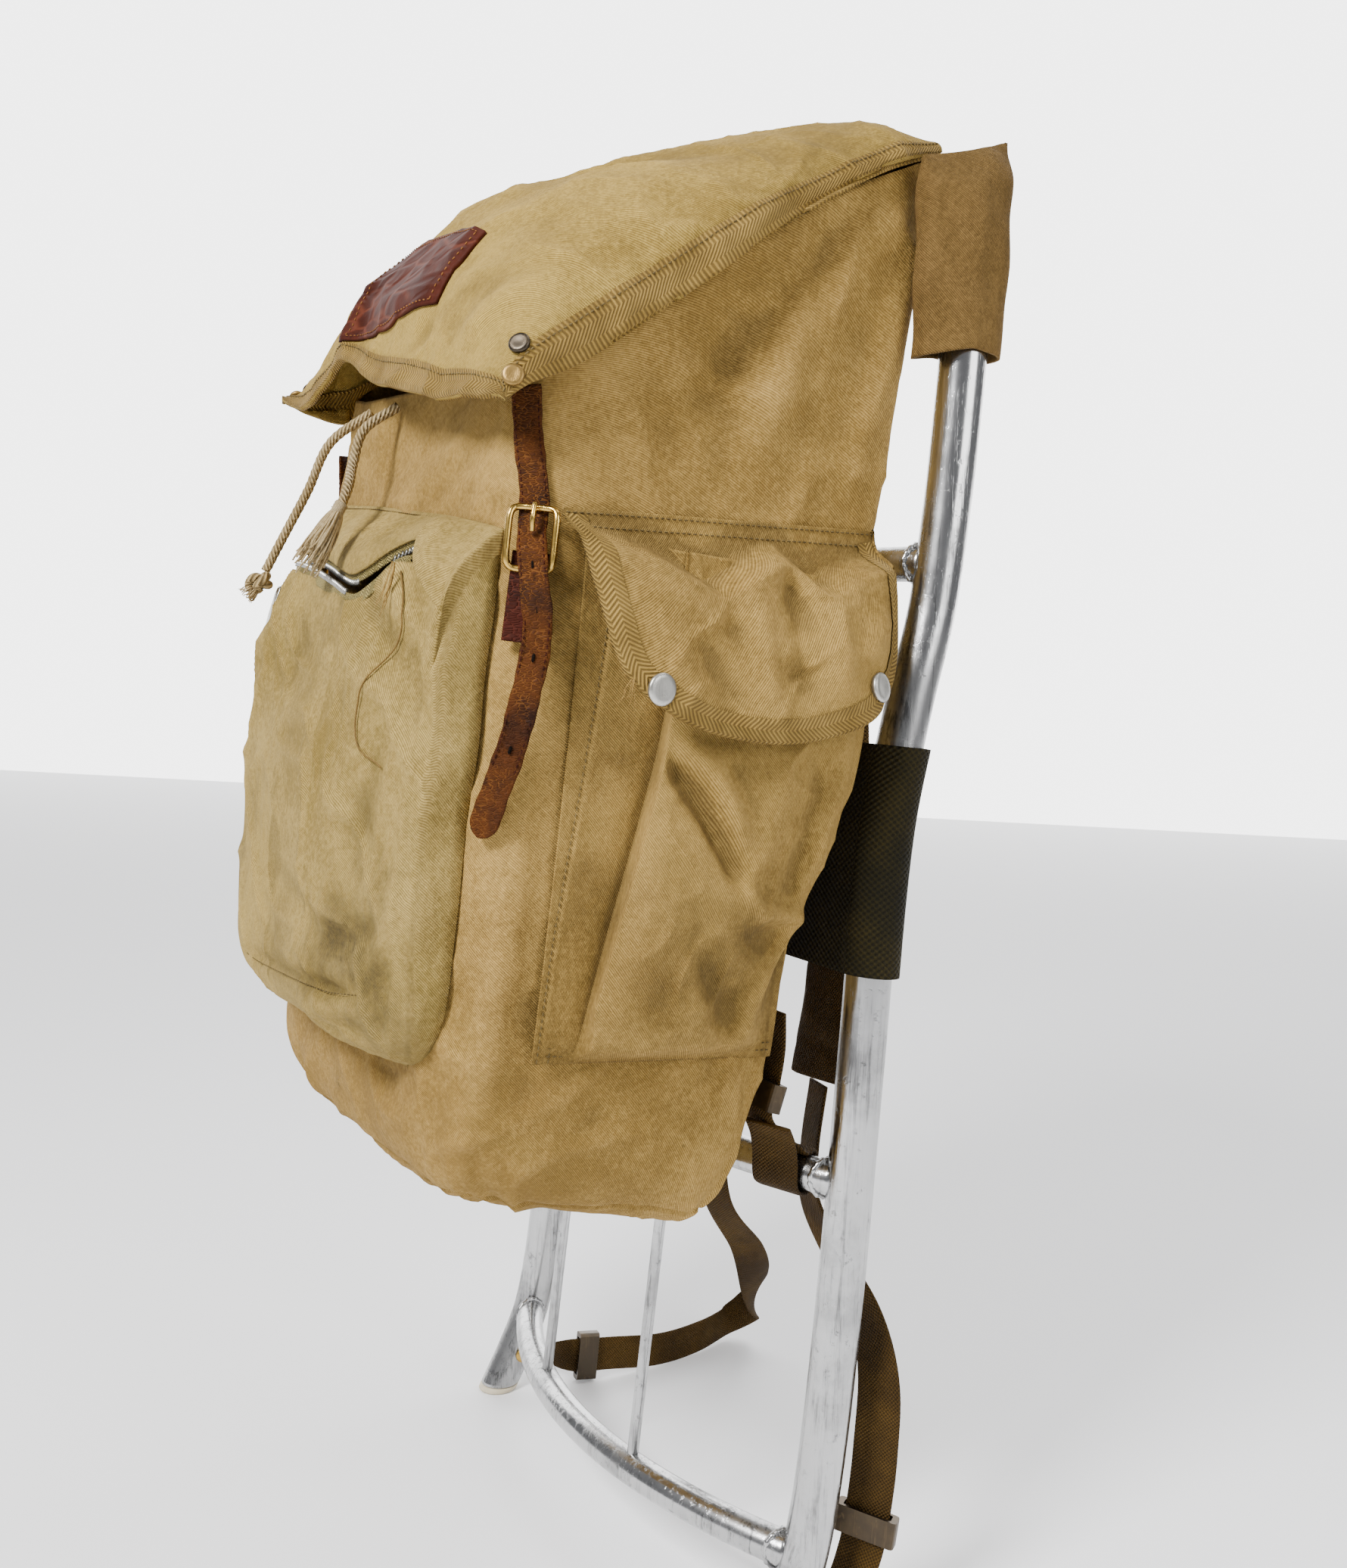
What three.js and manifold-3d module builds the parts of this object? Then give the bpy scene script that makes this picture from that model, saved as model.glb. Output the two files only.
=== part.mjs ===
// A canvas rucksack on an external frame of bent aluminium tube.
// X runs across the pack, Y from its front to the wearer, Z up; millimetres.
import * as THREE from 'three';
import { mergeVertices } from 'three/addons/utils/BufferGeometryUtils.js';
import Module from 'manifold-3d';

const wasm = await Module();
wasm.setup();

// Driving dimensions
const GAP = 0.3;
const SEAT = 0.5;
const CANVAS = 2;
const LEAN = 0.066;
const ORIGIN_SHIFT = 27.77;

const RAIL = { x: 170, radius: 12.7, wall: 2, sides: 12, steps: 14, top: 786 };
const BAR = { radius: 9.5, sides: 10, steps: 10 };
const ROD = { x: 57, radius: 3.4, sides: 8 };
const PLUG = { flange: 4, spigot: 9.7, depth: 15 };
const PIN = { z: 27, shank: 3, head: 6, headThick: 2.2, reach: 13.4 };
const BAND = { low: 376, high: 498, thick: 2.6 };
const WEB = { width: 25, thick: 2.2 };
const PAD = { width: 52, thick: 11 };
const STRAP = { width: 14, thick: 2.4 };
const BUCKLE = { z: 574, width: 25, height: 32, bar: 3.4 };
const CORD = { radius: 2.75, sides: 8, steps: 9 };
const SNAP = { radius: 7.8, height: 3 };
const RIVET = { radius: 5.2, height: 2.4 };
const SIDES = { right: 1, left: -1 };

// The rail seen from the side: the foot bends forward, the back of the shoulders bends away
const RAIL_ROWS = [
  { z: -14, y: -30 },
  { z: 0, y: -24 },
  { z: 30, y: -12 },
  { z: 60, y: -3 },
  { z: 110, y: 1 },
  { z: 200, y: 1 },
  { z: 330, y: -3 },
  { z: 450, y: -6 },
  { z: 520, y: 2 },
  { z: 580, y: 11 },
  { z: 700, y: 12 },
  { z: 800, y: 5 },
];

// Crossbars: height on the rails and how far the middle bows forward
const BARS = {
  crossbar_upper: { z: 597, bow: 25 },
  crossbar_lower: { z: 262, bow: 50 },
  crossbar_bottom: { z: 57, bow: 49 },
};

// Bag sections from the bottom up: front and back height, half width, front and back faces,
// hollow of the back over the crossbars, slant of the front, rise of the back's middle, depth of the gathers
const BAG_ROWS = [
  { frontZ: 245, backZ: 226, half: 98, front: -180, back: -86, dent: 0, slant: 0, crown: 0, gather: 0.05 },
  { frontZ: 251, backZ: 233, half: 127, front: -209, back: -69, dent: 2, slant: 0, crown: 0, gather: 0.022 },
  { frontZ: 273, backZ: 264, half: 146, front: -226, back: -56, dent: 7, slant: 0, crown: 0, gather: 0.01 },
  { frontZ: 322, backZ: 332, half: 152, front: -231, back: -43, dent: 6, slant: 0, crown: 0, gather: 0 },
  { frontZ: 415, backZ: 430, half: 155, front: -233, back: -36, dent: 4, slant: -0.02, crown: 0, gather: 0 },
  { frontZ: 505, backZ: 535, half: 155, front: -232, back: -23, dent: 8, slant: -0.05, crown: 0, gather: 0 },
  { frontZ: 578, backZ: 640, half: 153, front: -230, back: -9, dent: 13, slant: -0.07, crown: 0, gather: 0 },
  { frontZ: 628, backZ: 735, half: 151, front: -228, back: -2, dent: 8, slant: -0.07, crown: 5, gather: 0 },
  { frontZ: 664, backZ: 815, half: 150, front: -224, back: 0, dent: 0, slant: -0.07, crown: 18, gather: 0.012 },
].map((row, t) => ({ ...row, t }));
const BAG = { around: 32, levels: 10, frontPower: 7, backPower: 22, gathers: 8 };

// Lid ribs from the back edge to the front edge: the crown line, the edge line and half width
const LID_ROWS = [
  { crownY: 2, crownZ: 834.4, edgeY: -2, edgeZ: 815.1, half: 148.5 },
  { crownY: -45, crownZ: 838, edgeY: -50, edgeZ: 779, half: 157 },
  { crownY: -105, crownZ: 817, edgeY: -105, edgeZ: 737, half: 160 },
  { crownY: -165, crownZ: 788, edgeY: -160, edgeZ: 695, half: 160 },
  { crownY: -214, crownZ: 752, edgeY: -205, edgeZ: 664, half: 160 },
  { crownY: -240, crownZ: 708, edgeY: -230, edgeZ: 650, half: 158 },
  { crownY: -250, crownZ: 662, edgeY: -240, edgeZ: 642, half: 155 },
].map((row, i, rows) => ({ ...row, v: i / (rows.length - 1) }));
const LID = { across: 14, along: 11, slant: -0.07, thick: CANVAS };
const LID_CORNER = { out: 16, forward: 12, rise: 12 };
const LID_ARCH = { x: -50, width: 42, rise: 16 };
const PATCH = { u: [-0.26, 0.28], v: [0.72, 0.875], skew: -0.1, thick: 1.8 };

// Front pocket sections from the bottom up, ending at the zip mouth
const FRONT_ROWS = [
  { z: 331, half: 106, face: -256 },
  { z: 339, half: 122, face: -264 },
  { z: 370, half: 129, face: -270 },
  { z: 445, half: 131, face: -273 },
  { z: 518, half: 131, face: -271 },
  { z: 556, half: 129, face: -264 },
  { z: 576, half: 127, face: -252 },
].map((row, t) => ({ ...row, t }));
const FRONT = { around: 20, levels: 7, power: 6, middle: 3 };

// Side pocket sections from the bottom up: its run along the bag side and how far it stands out
const POCKET_ROWS = [
  { z: 330, front: -176, back: -60, out: 16 },
  { z: 338, front: -182, back: -54, out: 24 },
  { z: 380, front: -187, back: -48, out: 30 },
  { z: 450, front: -191, back: -41, out: 32 },
  { z: 520, front: -194, back: -34, out: 28 },
  { z: 574, front: -194, back: -31, out: 17 },
].map((row, t) => ({ ...row, t }));
const POCKET = { around: 20, levels: 6, power: 4, pleat: 4 };
const FLAP = { topFront: 589, topBack: 611, low: 496, corner: 44, front: -201, back: -29, across: 10, along: 5, clear: 1.6, spare: 9 };
const FLAP_SNAPS = [{ u: -0.66, v: 0.86 }, { u: 0.8, v: 0.84 }];

// Sleeve over the rail top: half sizes of its flat oval from the mouth up
const SLEEVE_ROWS = [
  { z: 708, halfX: 16.4, halfY: 19 },
  { z: 760, halfX: 16.4, halfY: 20 },
  { z: 788, halfX: 16, halfY: 20.5 },
  { z: 799, halfX: 9, halfY: 21 },
  { z: 804, halfX: 3.2, halfY: 21.5 },
];

// Free routes, right then left; each row is a point and the direction of the strap's width.
// A row marked floor is measured from the floor, the others from the leaning pack
const PAD_ROUTES = {
  right: [
    { at: [72, 7, 604], across: [1, 0.1, 0] },
    { at: [76, 12, 570], across: [1, 0, 0] },
    { at: [86, 23, 520], across: [1, 0, 0.1] },
    { at: [96, 22, 475], across: [1, 0, 0.12] },
    { at: [106, 19, 415], across: [0.98, -0.05, 0.12] },
    { at: [113, 20, 370], across: [0.95, -0.1, 0.12] },
    { at: [118, 12, 304], across: [0.9, -0.25, 0.12] },
  ],
  left: [
    { at: [-72, 7, 604], across: [1, -0.1, 0] },
    { at: [-74, 12, 570], across: [1, 0, 0] },
    { at: [-76, 24, 520], across: [1, 0, 0] },
    { at: [-72, 30, 450], across: [1, 0, 0] },
    { at: [-60, 40, 340], across: [1, 0.1, 0] },
    { at: [-46, 52, 244], across: [1, 0.2, 0] },
  ],
};
const WEB_ROUTES = {
  right: [
    { at: [118.1, 11.9, 302.6], across: [0.9, -0.25, 0.12] },
    { at: [119, 10, 264], across: [0.9, -0.25, 0.1] },
    { at: [122, 13, 234], across: [0.85, -0.2, 0.3] },
    { at: [138, 27, 202], across: [0.75, -0.1, 0.55] },
    { at: [160, 32, 178], across: [0.7, 0.1, 0.6] },
    { at: [173, 33, 150], across: [0.85, 0.4, 0.3] },
    { at: [174.5, 35, 112], across: [0.8, 0.6, 0.05] },
    { at: [174.5, 35, 84], across: [0.8, 0.6, 0] },
    { at: [173.5, 33, 54], across: [0.85, 0.5, 0] },
    { at: [174, 22, 33], across: [0.95, 0.2, 0] },
    { at: [172, 2.1, 29], across: [1, 0, 0] },
  ],
  left: [
    { at: [-45.5, 52.4, 240.6], across: [1, 0.2, 0] },
    { at: [-50, 80, 170], across: [0.95, 0.3, 0.1], floor: true },
    { at: [-74, 126, 116], across: [0.8, 0.3, 0.5], floor: true },
    { at: [-110, 160, 70], across: [0.55, 0, 0.8], floor: true },
    { at: [-144, 182, 34], across: [0.35, -0.25, 0.9], floor: true },
    { at: [-160, 172, 16.5], across: [0.1, -0.05, 1], floor: true },
    { at: [-152, 140, 13], across: [0, 0, 1], floor: true },
    { at: [-147, 100, 13], across: [0, 0, 1], floor: true },
    { at: [-150, 58, 17.2], across: [0, 0, 1], floor: true },
    { at: [-154, 32, 19.2], across: [0, 0, 1], floor: true },
    { at: [-162, 14, 22], across: [0.6, 0, 0.8], floor: true },
    { at: [-168, 4.5, 29], across: [1, 0, 0.2], floor: true },
  ],
};
const SLIDES = { right: 0.745, left: 0.79 };
const SLIDE = { width: 34.5, height: 15, bar: 3.6, play: 1.8 };

const CORD_ROUTES = {
  right: [[-18, -228.4, 656], [-22, -245, 640], [-20, -250, 620], [-8, -255, 606], [2, -262, 591]],
  left: [[-64, -228, 659], [-82, -245, 640], [-98, -251, 612], [-104, -260, 586], [-106, -269, 562]],
};
const KNOT = { at: [-106.6, -271.7, 554.8], radius: 7.4 };
const TASSEL = { at: [2.5, -263.1, 589.7], tip: [7, -279, 556], neck: 4, locks: 8 };
const PULL = { x: -92, z: 552, width: 9, drop: 34, thick: 1.6 };

// Tie strap: the strap hangs from the bag's lower back corner and hooks round the lower crossbar
const TIE = { x: 136, wrap: 12.4, turn: 4.3, slide: 0.26 };
const TIE_ROWS = [{ z: 350, seat: 1.5 }, { z: 330, seat: 5.8 }, { z: 311, seat: 7.5 }, { z: 292, seat: 9.5 }];
const TIE_SLIDE = { width: 33, height: 15, bar: 3.4, play: 1.9 };

// Colours and finishes
const finish = (color, roughness, metalness = 0) =>
  () => new THREE.MeshStandardMaterial({ color, roughness, metalness });
const aluminium = finish(0xaaacaf, 0.35, 0.9);
const canvas = finish(0xb09462, 0.95);
const leather = finish(0x783c23, 0.7);
const patchLeather = finish(0x5f2d23, 0.7);
const brass = finish(0xbe963c, 0.35, 0.9);
const nickel = finish(0xc0c0bd, 0.3, 0.9);
const webbing = finish(0x4b3a19, 0.95);
const cordYarn = finish(0xc2ad84, 0.95);
const plastic = finish(0xd8cba0, 0.6);
const blackened = finish(0x2b2824, 0.5, 0.7);

const pack = new THREE.Group();

// The pack leans back a little, so that its weight stands over its feet
const LEANING = new THREE.Matrix4().makeRotationX(-LEAN);
const UPRIGHT = LEANING.clone().invert();

const vec = (x, y, z) => new THREE.Vector3(x, y, z);
const lerp = THREE.MathUtils.lerp;

// A smooth curve through one column of a table, read along another column
function column(rows, key, name) {
  return (at) => {
    let i = 0;
    while (i < rows.length - 2 && at > rows[i + 1][key]) i += 1;
    const [a, b] = [rows[i], rows[i + 1]];
    const before = rows[Math.max(i - 1, 0)];
    const after = rows[Math.min(i + 2, rows.length - 1)];
    const span = b[key] - a[key];
    const t = THREE.MathUtils.clamp((at - a[key]) / span, 0, 1);
    const leave = ((b[name] - before[name]) / (b[key] - before[key])) * span;
    const arrive = ((after[name] - a[name]) / (after[key] - a[key])) * span;
    const [t2, t3] = [t * t, t * t * t];
    return (2 * t3 - 3 * t2 + 1) * a[name] + (t3 - 2 * t2 + t) * leave
      + (3 * t2 - 2 * t3) * b[name] + (t3 - t2) * arrive;
  };
}

// All columns of a table at once
function reader(rows, key) {
  const names = Object.keys(rows[0]).filter((name) => name !== key);
  const curves = Object.fromEntries(names.map((name) => [name, column(rows, key, name)]));
  return (at) => Object.fromEntries(names.map((name) => [name, curves[name](at)]));
}

function signedVolume(points, index) {
  let sum = 0;
  for (let i = 0; i < index.length; i += 3) {
    const [a, b, c] = [points[index[i]], points[index[i + 1]], points[index[i + 2]]];
    sum += a.dot(b.clone().cross(c));
  }
  return sum / 6;
}

function meshOf(points, index) {
  const faces = signedVolume(points, index) < 0 ? index.slice().reverse() : index;
  const geometry = new THREE.BufferGeometry().setFromPoints(points);
  geometry.setIndex(faces);
  return geometry;
}

// A closed body through rings of equal count, each end closed by a fan round its centre
function ringBody(rings) {
  const count = rings[0].length;
  const points = rings.flat();
  const index = [];
  for (let i = 0; i < rings.length - 1; i += 1) {
    for (let j = 0; j < count; j += 1) {
      const [a, b] = [i * count + j, i * count + ((j + 1) % count)];
      index.push(a, b, b + count, a, b + count, a + count);
    }
  }
  const ends = [[rings[0], 0, 1], [rings.at(-1), (rings.length - 1) * count, -1]];
  for (const [ring, first, turn] of ends) {
    const centre = ring.reduce((sum, p) => sum.add(p), vec(0, 0, 0)).divideScalar(count);
    const hub = points.push(centre) - 1;
    for (let j = 0; j < count; j += 1) {
      const [a, b] = [first + j, first + ((j + 1) % count)];
      index.push(hub, turn > 0 ? b : a, turn > 0 ? a : b);
    }
  }
  return meshOf(points, index);
}

// A cloth wall: a surface of two parameters from 0 to 1, thickened on its inner side
function wall(surface, across, along, thick, lift = 0) {
  const step = 1e-3;
  const point = (u, v) => surface(u, v);
  const normal = (u, v) => {
    const du = point(Math.min(u + step, 1), v).sub(point(Math.max(u - step, 0), v));
    const dv = point(u, Math.min(v + step, 1)).sub(point(u, Math.max(v - step, 0)));
    return du.cross(dv).normalize();
  };
  const points = [];
  for (const offset of [lift + thick, lift]) {
    for (let j = 0; j <= along; j += 1) {
      for (let i = 0; i <= across; i += 1) {
        const [u, v] = [i / across, j / along];
        points.push(point(u, v).addScaledVector(normal(u, v), offset));
      }
    }
  }
  const row = across + 1;
  const layer = row * (along + 1);
  const index = [];
  const quad = (a, b, c, d) => index.push(a, b, c, a, c, d);
  for (let j = 0; j < along; j += 1) {
    for (let i = 0; i < across; i += 1) {
      const a = j * row + i;
      quad(a, a + 1, a + row + 1, a + row);
      quad(layer + a, layer + a + row, layer + a + row + 1, layer + a + 1);
    }
  }
  for (let i = 0; i < across; i += 1) {
    const far = along * row + i;
    quad(i, layer + i, layer + i + 1, i + 1);
    quad(far, far + 1, layer + far + 1, layer + far);
  }
  for (let j = 0; j < along; j += 1) {
    const [a, b] = [j * row, j * row + across];
    quad(a, a + row, layer + a + row, layer + a);
    quad(b, layer + b, layer + b + row, b + row);
  }
  return meshOf(points, index);
}

// A profile carried along a route whose rows give a point and the direction of its width
function routeFrame(route) {
  const spots = route.map(({ at, floor }) => (floor ? vec(...at).applyMatrix4(UPRIGHT) : vec(...at)));
  const centre = new THREE.CatmullRomCurve3(spots, false, 'centripetal');
  const widths = new THREE.CatmullRomCurve3(route.map(({ across }) => vec(...across)));
  return (t) => {
    const along = centre.getTangent(t);
    const across = widths.getPoint(t);
    across.addScaledVector(along, -across.dot(along)).normalize();
    return { at: centre.getPoint(t), along, across, up: along.clone().cross(across) };
  };
}

function carried(route, profile, steps, taper = () => 1) {
  const frame = routeFrame(route);
  const rings = [];
  for (let i = 0; i <= steps; i += 1) {
    const t = i / steps;
    const { at, across, up } = frame(t);
    rings.push(profile.map(([a, b]) =>
      at.clone().addScaledVector(across, a * taper(t)).addScaledVector(up, b * taper(t))));
  }
  return ringBody(rings);
}

const flatProfile = ({ width, thick }) => [
  [-width / 2, -thick / 2], [width / 2, -thick / 2], [width / 2, thick / 2], [-width / 2, thick / 2],
];
const padProfile = ({ width, thick }) => Array.from({ length: 8 }, (_, i) => {
  const angle = ((i + 0.5) / 8) * 2 * Math.PI;
  return [Math.cos(angle) * width * 0.53, Math.sin(angle) * thick * 0.54];
});

const polygon = (radius, sides) => Array.from({ length: sides }, (_, i) => {
  const angle = (i / sides) * 2 * Math.PI;
  return new THREE.Vector2(radius * Math.cos(angle), radius * Math.sin(angle));
});

// A round tube along a curve, bored where a bore radius is given
function tube(extrudePath, radius, sides, steps, bore = 0) {
  const shape = new THREE.Shape(polygon(radius, sides));
  if (bore > 0) shape.holes.push(new THREE.Path(polygon(bore, sides)));
  return new THREE.ExtrudeGeometry(shape, { steps, bevelEnabled: false, extrudePath });
}

// Solids that are joined or cut
function solid(geometry) {
  const bare = geometry.clone();
  bare.deleteAttribute('normal');
  bare.deleteAttribute('uv');
  const merged = mergeVertices(bare, 1e-4);
  const vertProperties = new Float32Array(merged.attributes.position.array);
  const triVerts = new Uint32Array(merged.index.array);
  return new wasm.Manifold(new wasm.Mesh({ numProp: 3, vertProperties, triVerts }));
}

function geometryOf(body) {
  const { vertProperties, triVerts } = body.getMesh();
  const geometry = new THREE.BufferGeometry();
  geometry.setAttribute('position', new THREE.BufferAttribute(vertProperties, 3));
  geometry.setIndex(new THREE.BufferAttribute(triVerts, 1));
  return geometry;
}

function block(width, depth, height, x, y, z) {
  return new THREE.BoxGeometry(width, depth, height).translate(x, y, z);
}

const BIG = 2000;
const layer = (low, high) =>
  solid(block(BIG, BIG, high - low, 0, 0, (low + high) / 2).applyMatrix4(UPRIGHT));


function add(name, geometry, material) {
  const mesh = new THREE.Mesh(geometry.applyMatrix4(LEANING).translate(0, ORIGIN_SHIFT, 0), material());
  mesh.name = name;
  pack.add(mesh);
}

// Frame
const railY = column(RAIL_ROWS, 'z', 'y');
const railPath = (side) => new THREE.CatmullRomCurve3(
  RAIL_ROWS.map(({ z, y }) => vec(side * RAIL.x, y, z)), false, 'centripetal');
const barY = ({ z, bow }, x) => railY(z) - bow * (1 - (x / RAIL.x) ** 2);
const clearRadius = (radius, sides) => (radius + GAP) / Math.cos(Math.PI / sides);

function pinBody(side) {
  const { shank, head, headThick, reach } = PIN;
  const half = [[0, reach + headThick], [head * 0.7, reach + headThick], [head, reach], [shank, reach]];
  const profile = [...half, ...half.slice().reverse().map(([r, x]) => [r, -x])];
  const points = profile.map(([r, x]) => new THREE.Vector2(r, -x));
  return new THREE.LatheGeometry(points, 10).rotateZ(Math.PI / 2)
    .translate(side * RAIL.x, railY(PIN.z), PIN.z);
}

function addRails() {
  for (const [word, side] of Object.entries(SIDES)) {
    const path = railPath(side);
    const full = tube(path, RAIL.radius, RAIL.sides, RAIL.steps, RAIL.radius - RAIL.wall);
    const core = solid(tube(path, RAIL.radius, RAIL.sides, RAIL.steps));
    const drill = new THREE.CylinderGeometry(PIN.shank + GAP * 1.5, PIN.shank + GAP * 1.5, 60, 10)
      .rotateZ(Math.PI / 2).translate(side * RAIL.x, railY(PIN.z), PIN.z);
    const rail = solid(full).intersect(layer(PLUG.flange, RAIL.top)).subtract(solid(drill));
    add(`rail_${word}`, geometryOf(rail), aluminium);
    const flange = core.intersect(layer(0, PLUG.flange - GAP));
    const spigot = solid(tube(path, PLUG.spigot, RAIL.sides, RAIL.steps));
    const stub = spigot.intersect(layer(PLUG.flange / 2, PLUG.depth));
    add(`foot_plug_${word}`, geometryOf(flange.add(stub)), plastic);
    add(`anchor_pin_${word}`, pinBody(side), brass);
  }
}

function addCrossbars() {
  const radius = clearRadius(RAIL.radius, RAIL.sides);
  const rails = Object.values(SIDES).map((side) =>
    solid(tube(railPath(side), radius, RAIL.sides, RAIL.steps)));
  for (const [name, bar] of Object.entries(BARS)) {
    const y = railY(bar.z);
    const path = new THREE.QuadraticBezierCurve3(
      vec(-RAIL.x, y, bar.z), vec(0, y - 2 * bar.bow, bar.z), vec(RAIL.x, y, bar.z));
    const whole = solid(tube(path, BAR.radius, BAR.sides, BAR.steps));
    add(name, geometryOf(whole.subtract(rails[0]).subtract(rails[1])), aluminium);
  }
}

function addRods() {
  const { crossbar_bottom: low, crossbar_lower: high } = BARS;
  for (const [word, side] of Object.entries(SIDES)) {
    const x = side * ROD.x;
    const foot = vec(x, barY(low, x), low.z + BAR.radius + GAP);
    const head = vec(x, barY(high, x), high.z - BAR.radius - GAP);
    add(`brace_rod_${word}`, tube(new THREE.LineCurve3(foot, head), ROD.radius, ROD.sides, 1), aluminium);
  }
}

// Bag
const bagRow = reader(BAG_ROWS, 't');
const BAG_TOP = BAG_ROWS.length - 1;
const BAG_MIDDLE = -120;
const power = (value, exponent) => Math.sign(value) * Math.abs(value) ** exponent;

function bagPoint(t, angle, inset = 0) {
  const row = bagRow(t);
  const pleat = 1 + row.gather * Math.cos(BAG.gathers * angle);
  const half = (row.half - inset) * pleat;
  const middle = (row.front + row.back) / 2;
  const depth = ((row.back - row.front) / 2 - inset) * pleat;
  const exponent = 2 / (Math.sin(angle) < 0 ? BAG.frontPower : BAG.backPower);
  const x = half * power(Math.cos(angle), exponent);
  const flatY = middle + depth * power(Math.sin(angle), exponent);
  const backness = Math.max(0, (flatY - middle) / depth);
  const y = flatY - row.dent * backness ** 2 * (1 - (x / half) ** 2);
  const share = (flatY - row.front) / (row.back - row.front);
  const rise = row.crown * Math.max(0, share) ** 2 * (1 - (x / half) ** 4);
  const z = lerp(row.frontZ, row.backZ, share) + row.slant * x * (1 - share) + rise;
  return vec(x, y, z + inset * Math.max(0, 1 - t));
}

// The level at which a measure that grows with the level reaches a value
function levelOf(measure, value) {
  let [low, high] = [0, BAG_TOP];
  for (let i = 0; i < 30; i += 1) {
    const t = (low + high) / 2;
    if (measure(t) < value) low = t;
    else high = t;
  }
  return low;
}
const bagAt = (angle, z) => bagPoint(levelOf((t) => bagPoint(t, angle).z, z), angle);
const oval = (share, exponent) => Math.max(0, 1 - Math.abs(share) ** exponent) ** (1 / exponent);

// The bag's front and back faces over a given x, and its side face over a given y
function bagFront(x, z) {
  const t = levelOf((at) => bagRow(at).frontZ + bagRow(at).slant * x, z);
  const { half, front, back } = bagRow(t);
  return (front + back) / 2 - ((back - front) / 2) * oval(x / half, BAG.frontPower);
}
function bagBack(x, z) {
  const { half, front, back, dent } = bagRow(levelOf((at) => bagRow(at).backZ, z));
  const flat = (front + back) / 2 + ((back - front) / 2) * oval(x / half, BAG.backPower);
  return flat - dent * (1 - (x / half) ** 2);
}
function bagSide(y, z) {
  const height = ({ frontZ, backZ, front, back }) => lerp(frontZ, backZ, (y - front) / (back - front));
  const { half, front, back } = bagRow(levelOf((at) => height(bagRow(at)), z));
  const share = (2 * y - front - back) / (back - front);
  return half * oval(share, share < 0 ? BAG.frontPower : BAG.backPower);
}

const spread = (count) => Array.from({ length: count }, (_, i) => (i / count) * 2 * Math.PI);

// A cloth cup: outer wall up, over the rim, and the inner wall down again
function cup(point, levels, top, around) {
  const level = (inset) => Array.from({ length: levels + 1 }, (_, i) =>
    spread(around).map((angle) => point((i / levels) * top, angle, inset)));
  return ringBody([...level(0), ...level(CANVAS).reverse()]);
}

function addBag() {
  add('bag_body', cup(bagPoint, BAG.levels, BAG_TOP, BAG.around), canvas);
}

// Lid
const lidRow = reader(LID_ROWS, 'v');
const ramp = (value, low, high) => THREE.MathUtils.clamp((value - low) / (high - low), 0, 1);

function lidPoint(u, v) {
  const row = lidRow(v);
  const angle = (u * Math.PI) / 2;
  const [s, c] = [Math.sin(angle), Math.max(Math.cos(angle), 0)];
  const corner = ramp(v, 0.7, 1) * ramp(-u, 0.5, 1);
  const x = row.half * power(s, 0.9);
  const arch = LID_ARCH.rise * Math.exp(-(((x - LID_ARCH.x) / LID_ARCH.width) ** 2)) * ramp(v, 0.8, 1);
  const z = lerp(row.edgeZ, row.crownZ, c ** 0.8) + LID.slant * x * v;
  return vec(
    x - LID_CORNER.out * corner,
    lerp(row.edgeY, row.crownY, c) - LID_CORNER.forward * corner,
    z + LID_CORNER.rise * corner + arch,
  );
}

const lidFace = (u, v) => lidPoint(2 * u - 1, v);

// A point on a surface and its direction away from the bag
function frameOn(surface, u, v) {
  const step = 1e-3;
  const across = surface(u + step, v).sub(surface(u - step, v));
  const out = surface(u, v + step).sub(surface(u, v - step)).cross(across).normalize();
  const at = surface(u, v);
  return { at, out: out.dot(vec(at.x, at.y - BAG_MIDDLE, 0)) < 0 ? out.negate() : out };
}

// A turned piece set on a surface, its axis along the outward direction
function seated(profile, { at, out }, lift, segments = 8) {
  const geometry = new THREE.LatheGeometry(profile.map(([r, h]) => new THREE.Vector2(r, h)), segments);
  const turn = new THREE.Quaternion().setFromUnitVectors(vec(0, 1, 0), out);
  const place = at.clone().addScaledVector(out, lift);
  return geometry.applyQuaternion(turn).translate(place.x, place.y, place.z);
}
const capProfile = ({ radius, height }) => [
  [0, 0], [radius, 0], [radius, height * 0.35], [radius * 0.72, height], [0, height],
];

function addLid() {
  add('lid', wall((u, v) => lidFace(1 - u, v), LID.across, LID.along, LID.thick), canvas);
  const patch = (u, v) => {
    const at = lerp(PATCH.u[0], PATCH.u[1], u) + PATCH.skew * (v - 0.5);
    return lidPoint(at, lerp(PATCH.v[0], PATCH.v[1], v));
  };
  const lift = LID.thick + SEAT;
  add('lid_patch', wall((u, v) => patch(1 - u, v), 6, 4, PATCH.thick, lift), patchLeather);
  for (const [word, side] of Object.entries(SIDES)) {
    const rivet = (u, v) => seated(capProfile(RIVET), frameOn(lidPoint, side * u, v), lift, 7);
    add(`lid_rivet_upper_${word}`, rivet(0.86, 0.86), blackened);
    add(`lid_rivet_lower_${word}`, rivet(0.88, 0.95), brass);
  }
}

// Lid straps and buckles lie on the rounded front corners of the bag
const CORNER = { angle: -0.6, facing: 0.64 };
const cornerOut = (side) => vec(side * Math.cos(CORNER.facing), -Math.sin(CORNER.facing), 0);
const cornerAcross = (side) => vec(Math.sin(CORNER.facing), side * Math.cos(CORNER.facing), 0);

function cornerPoint(side, z, out) {
  const angle = side > 0 ? CORNER.angle : -Math.PI - CORNER.angle;
  return bagAt(angle, z).addScaledVector(cornerOut(side), out);
}

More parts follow.
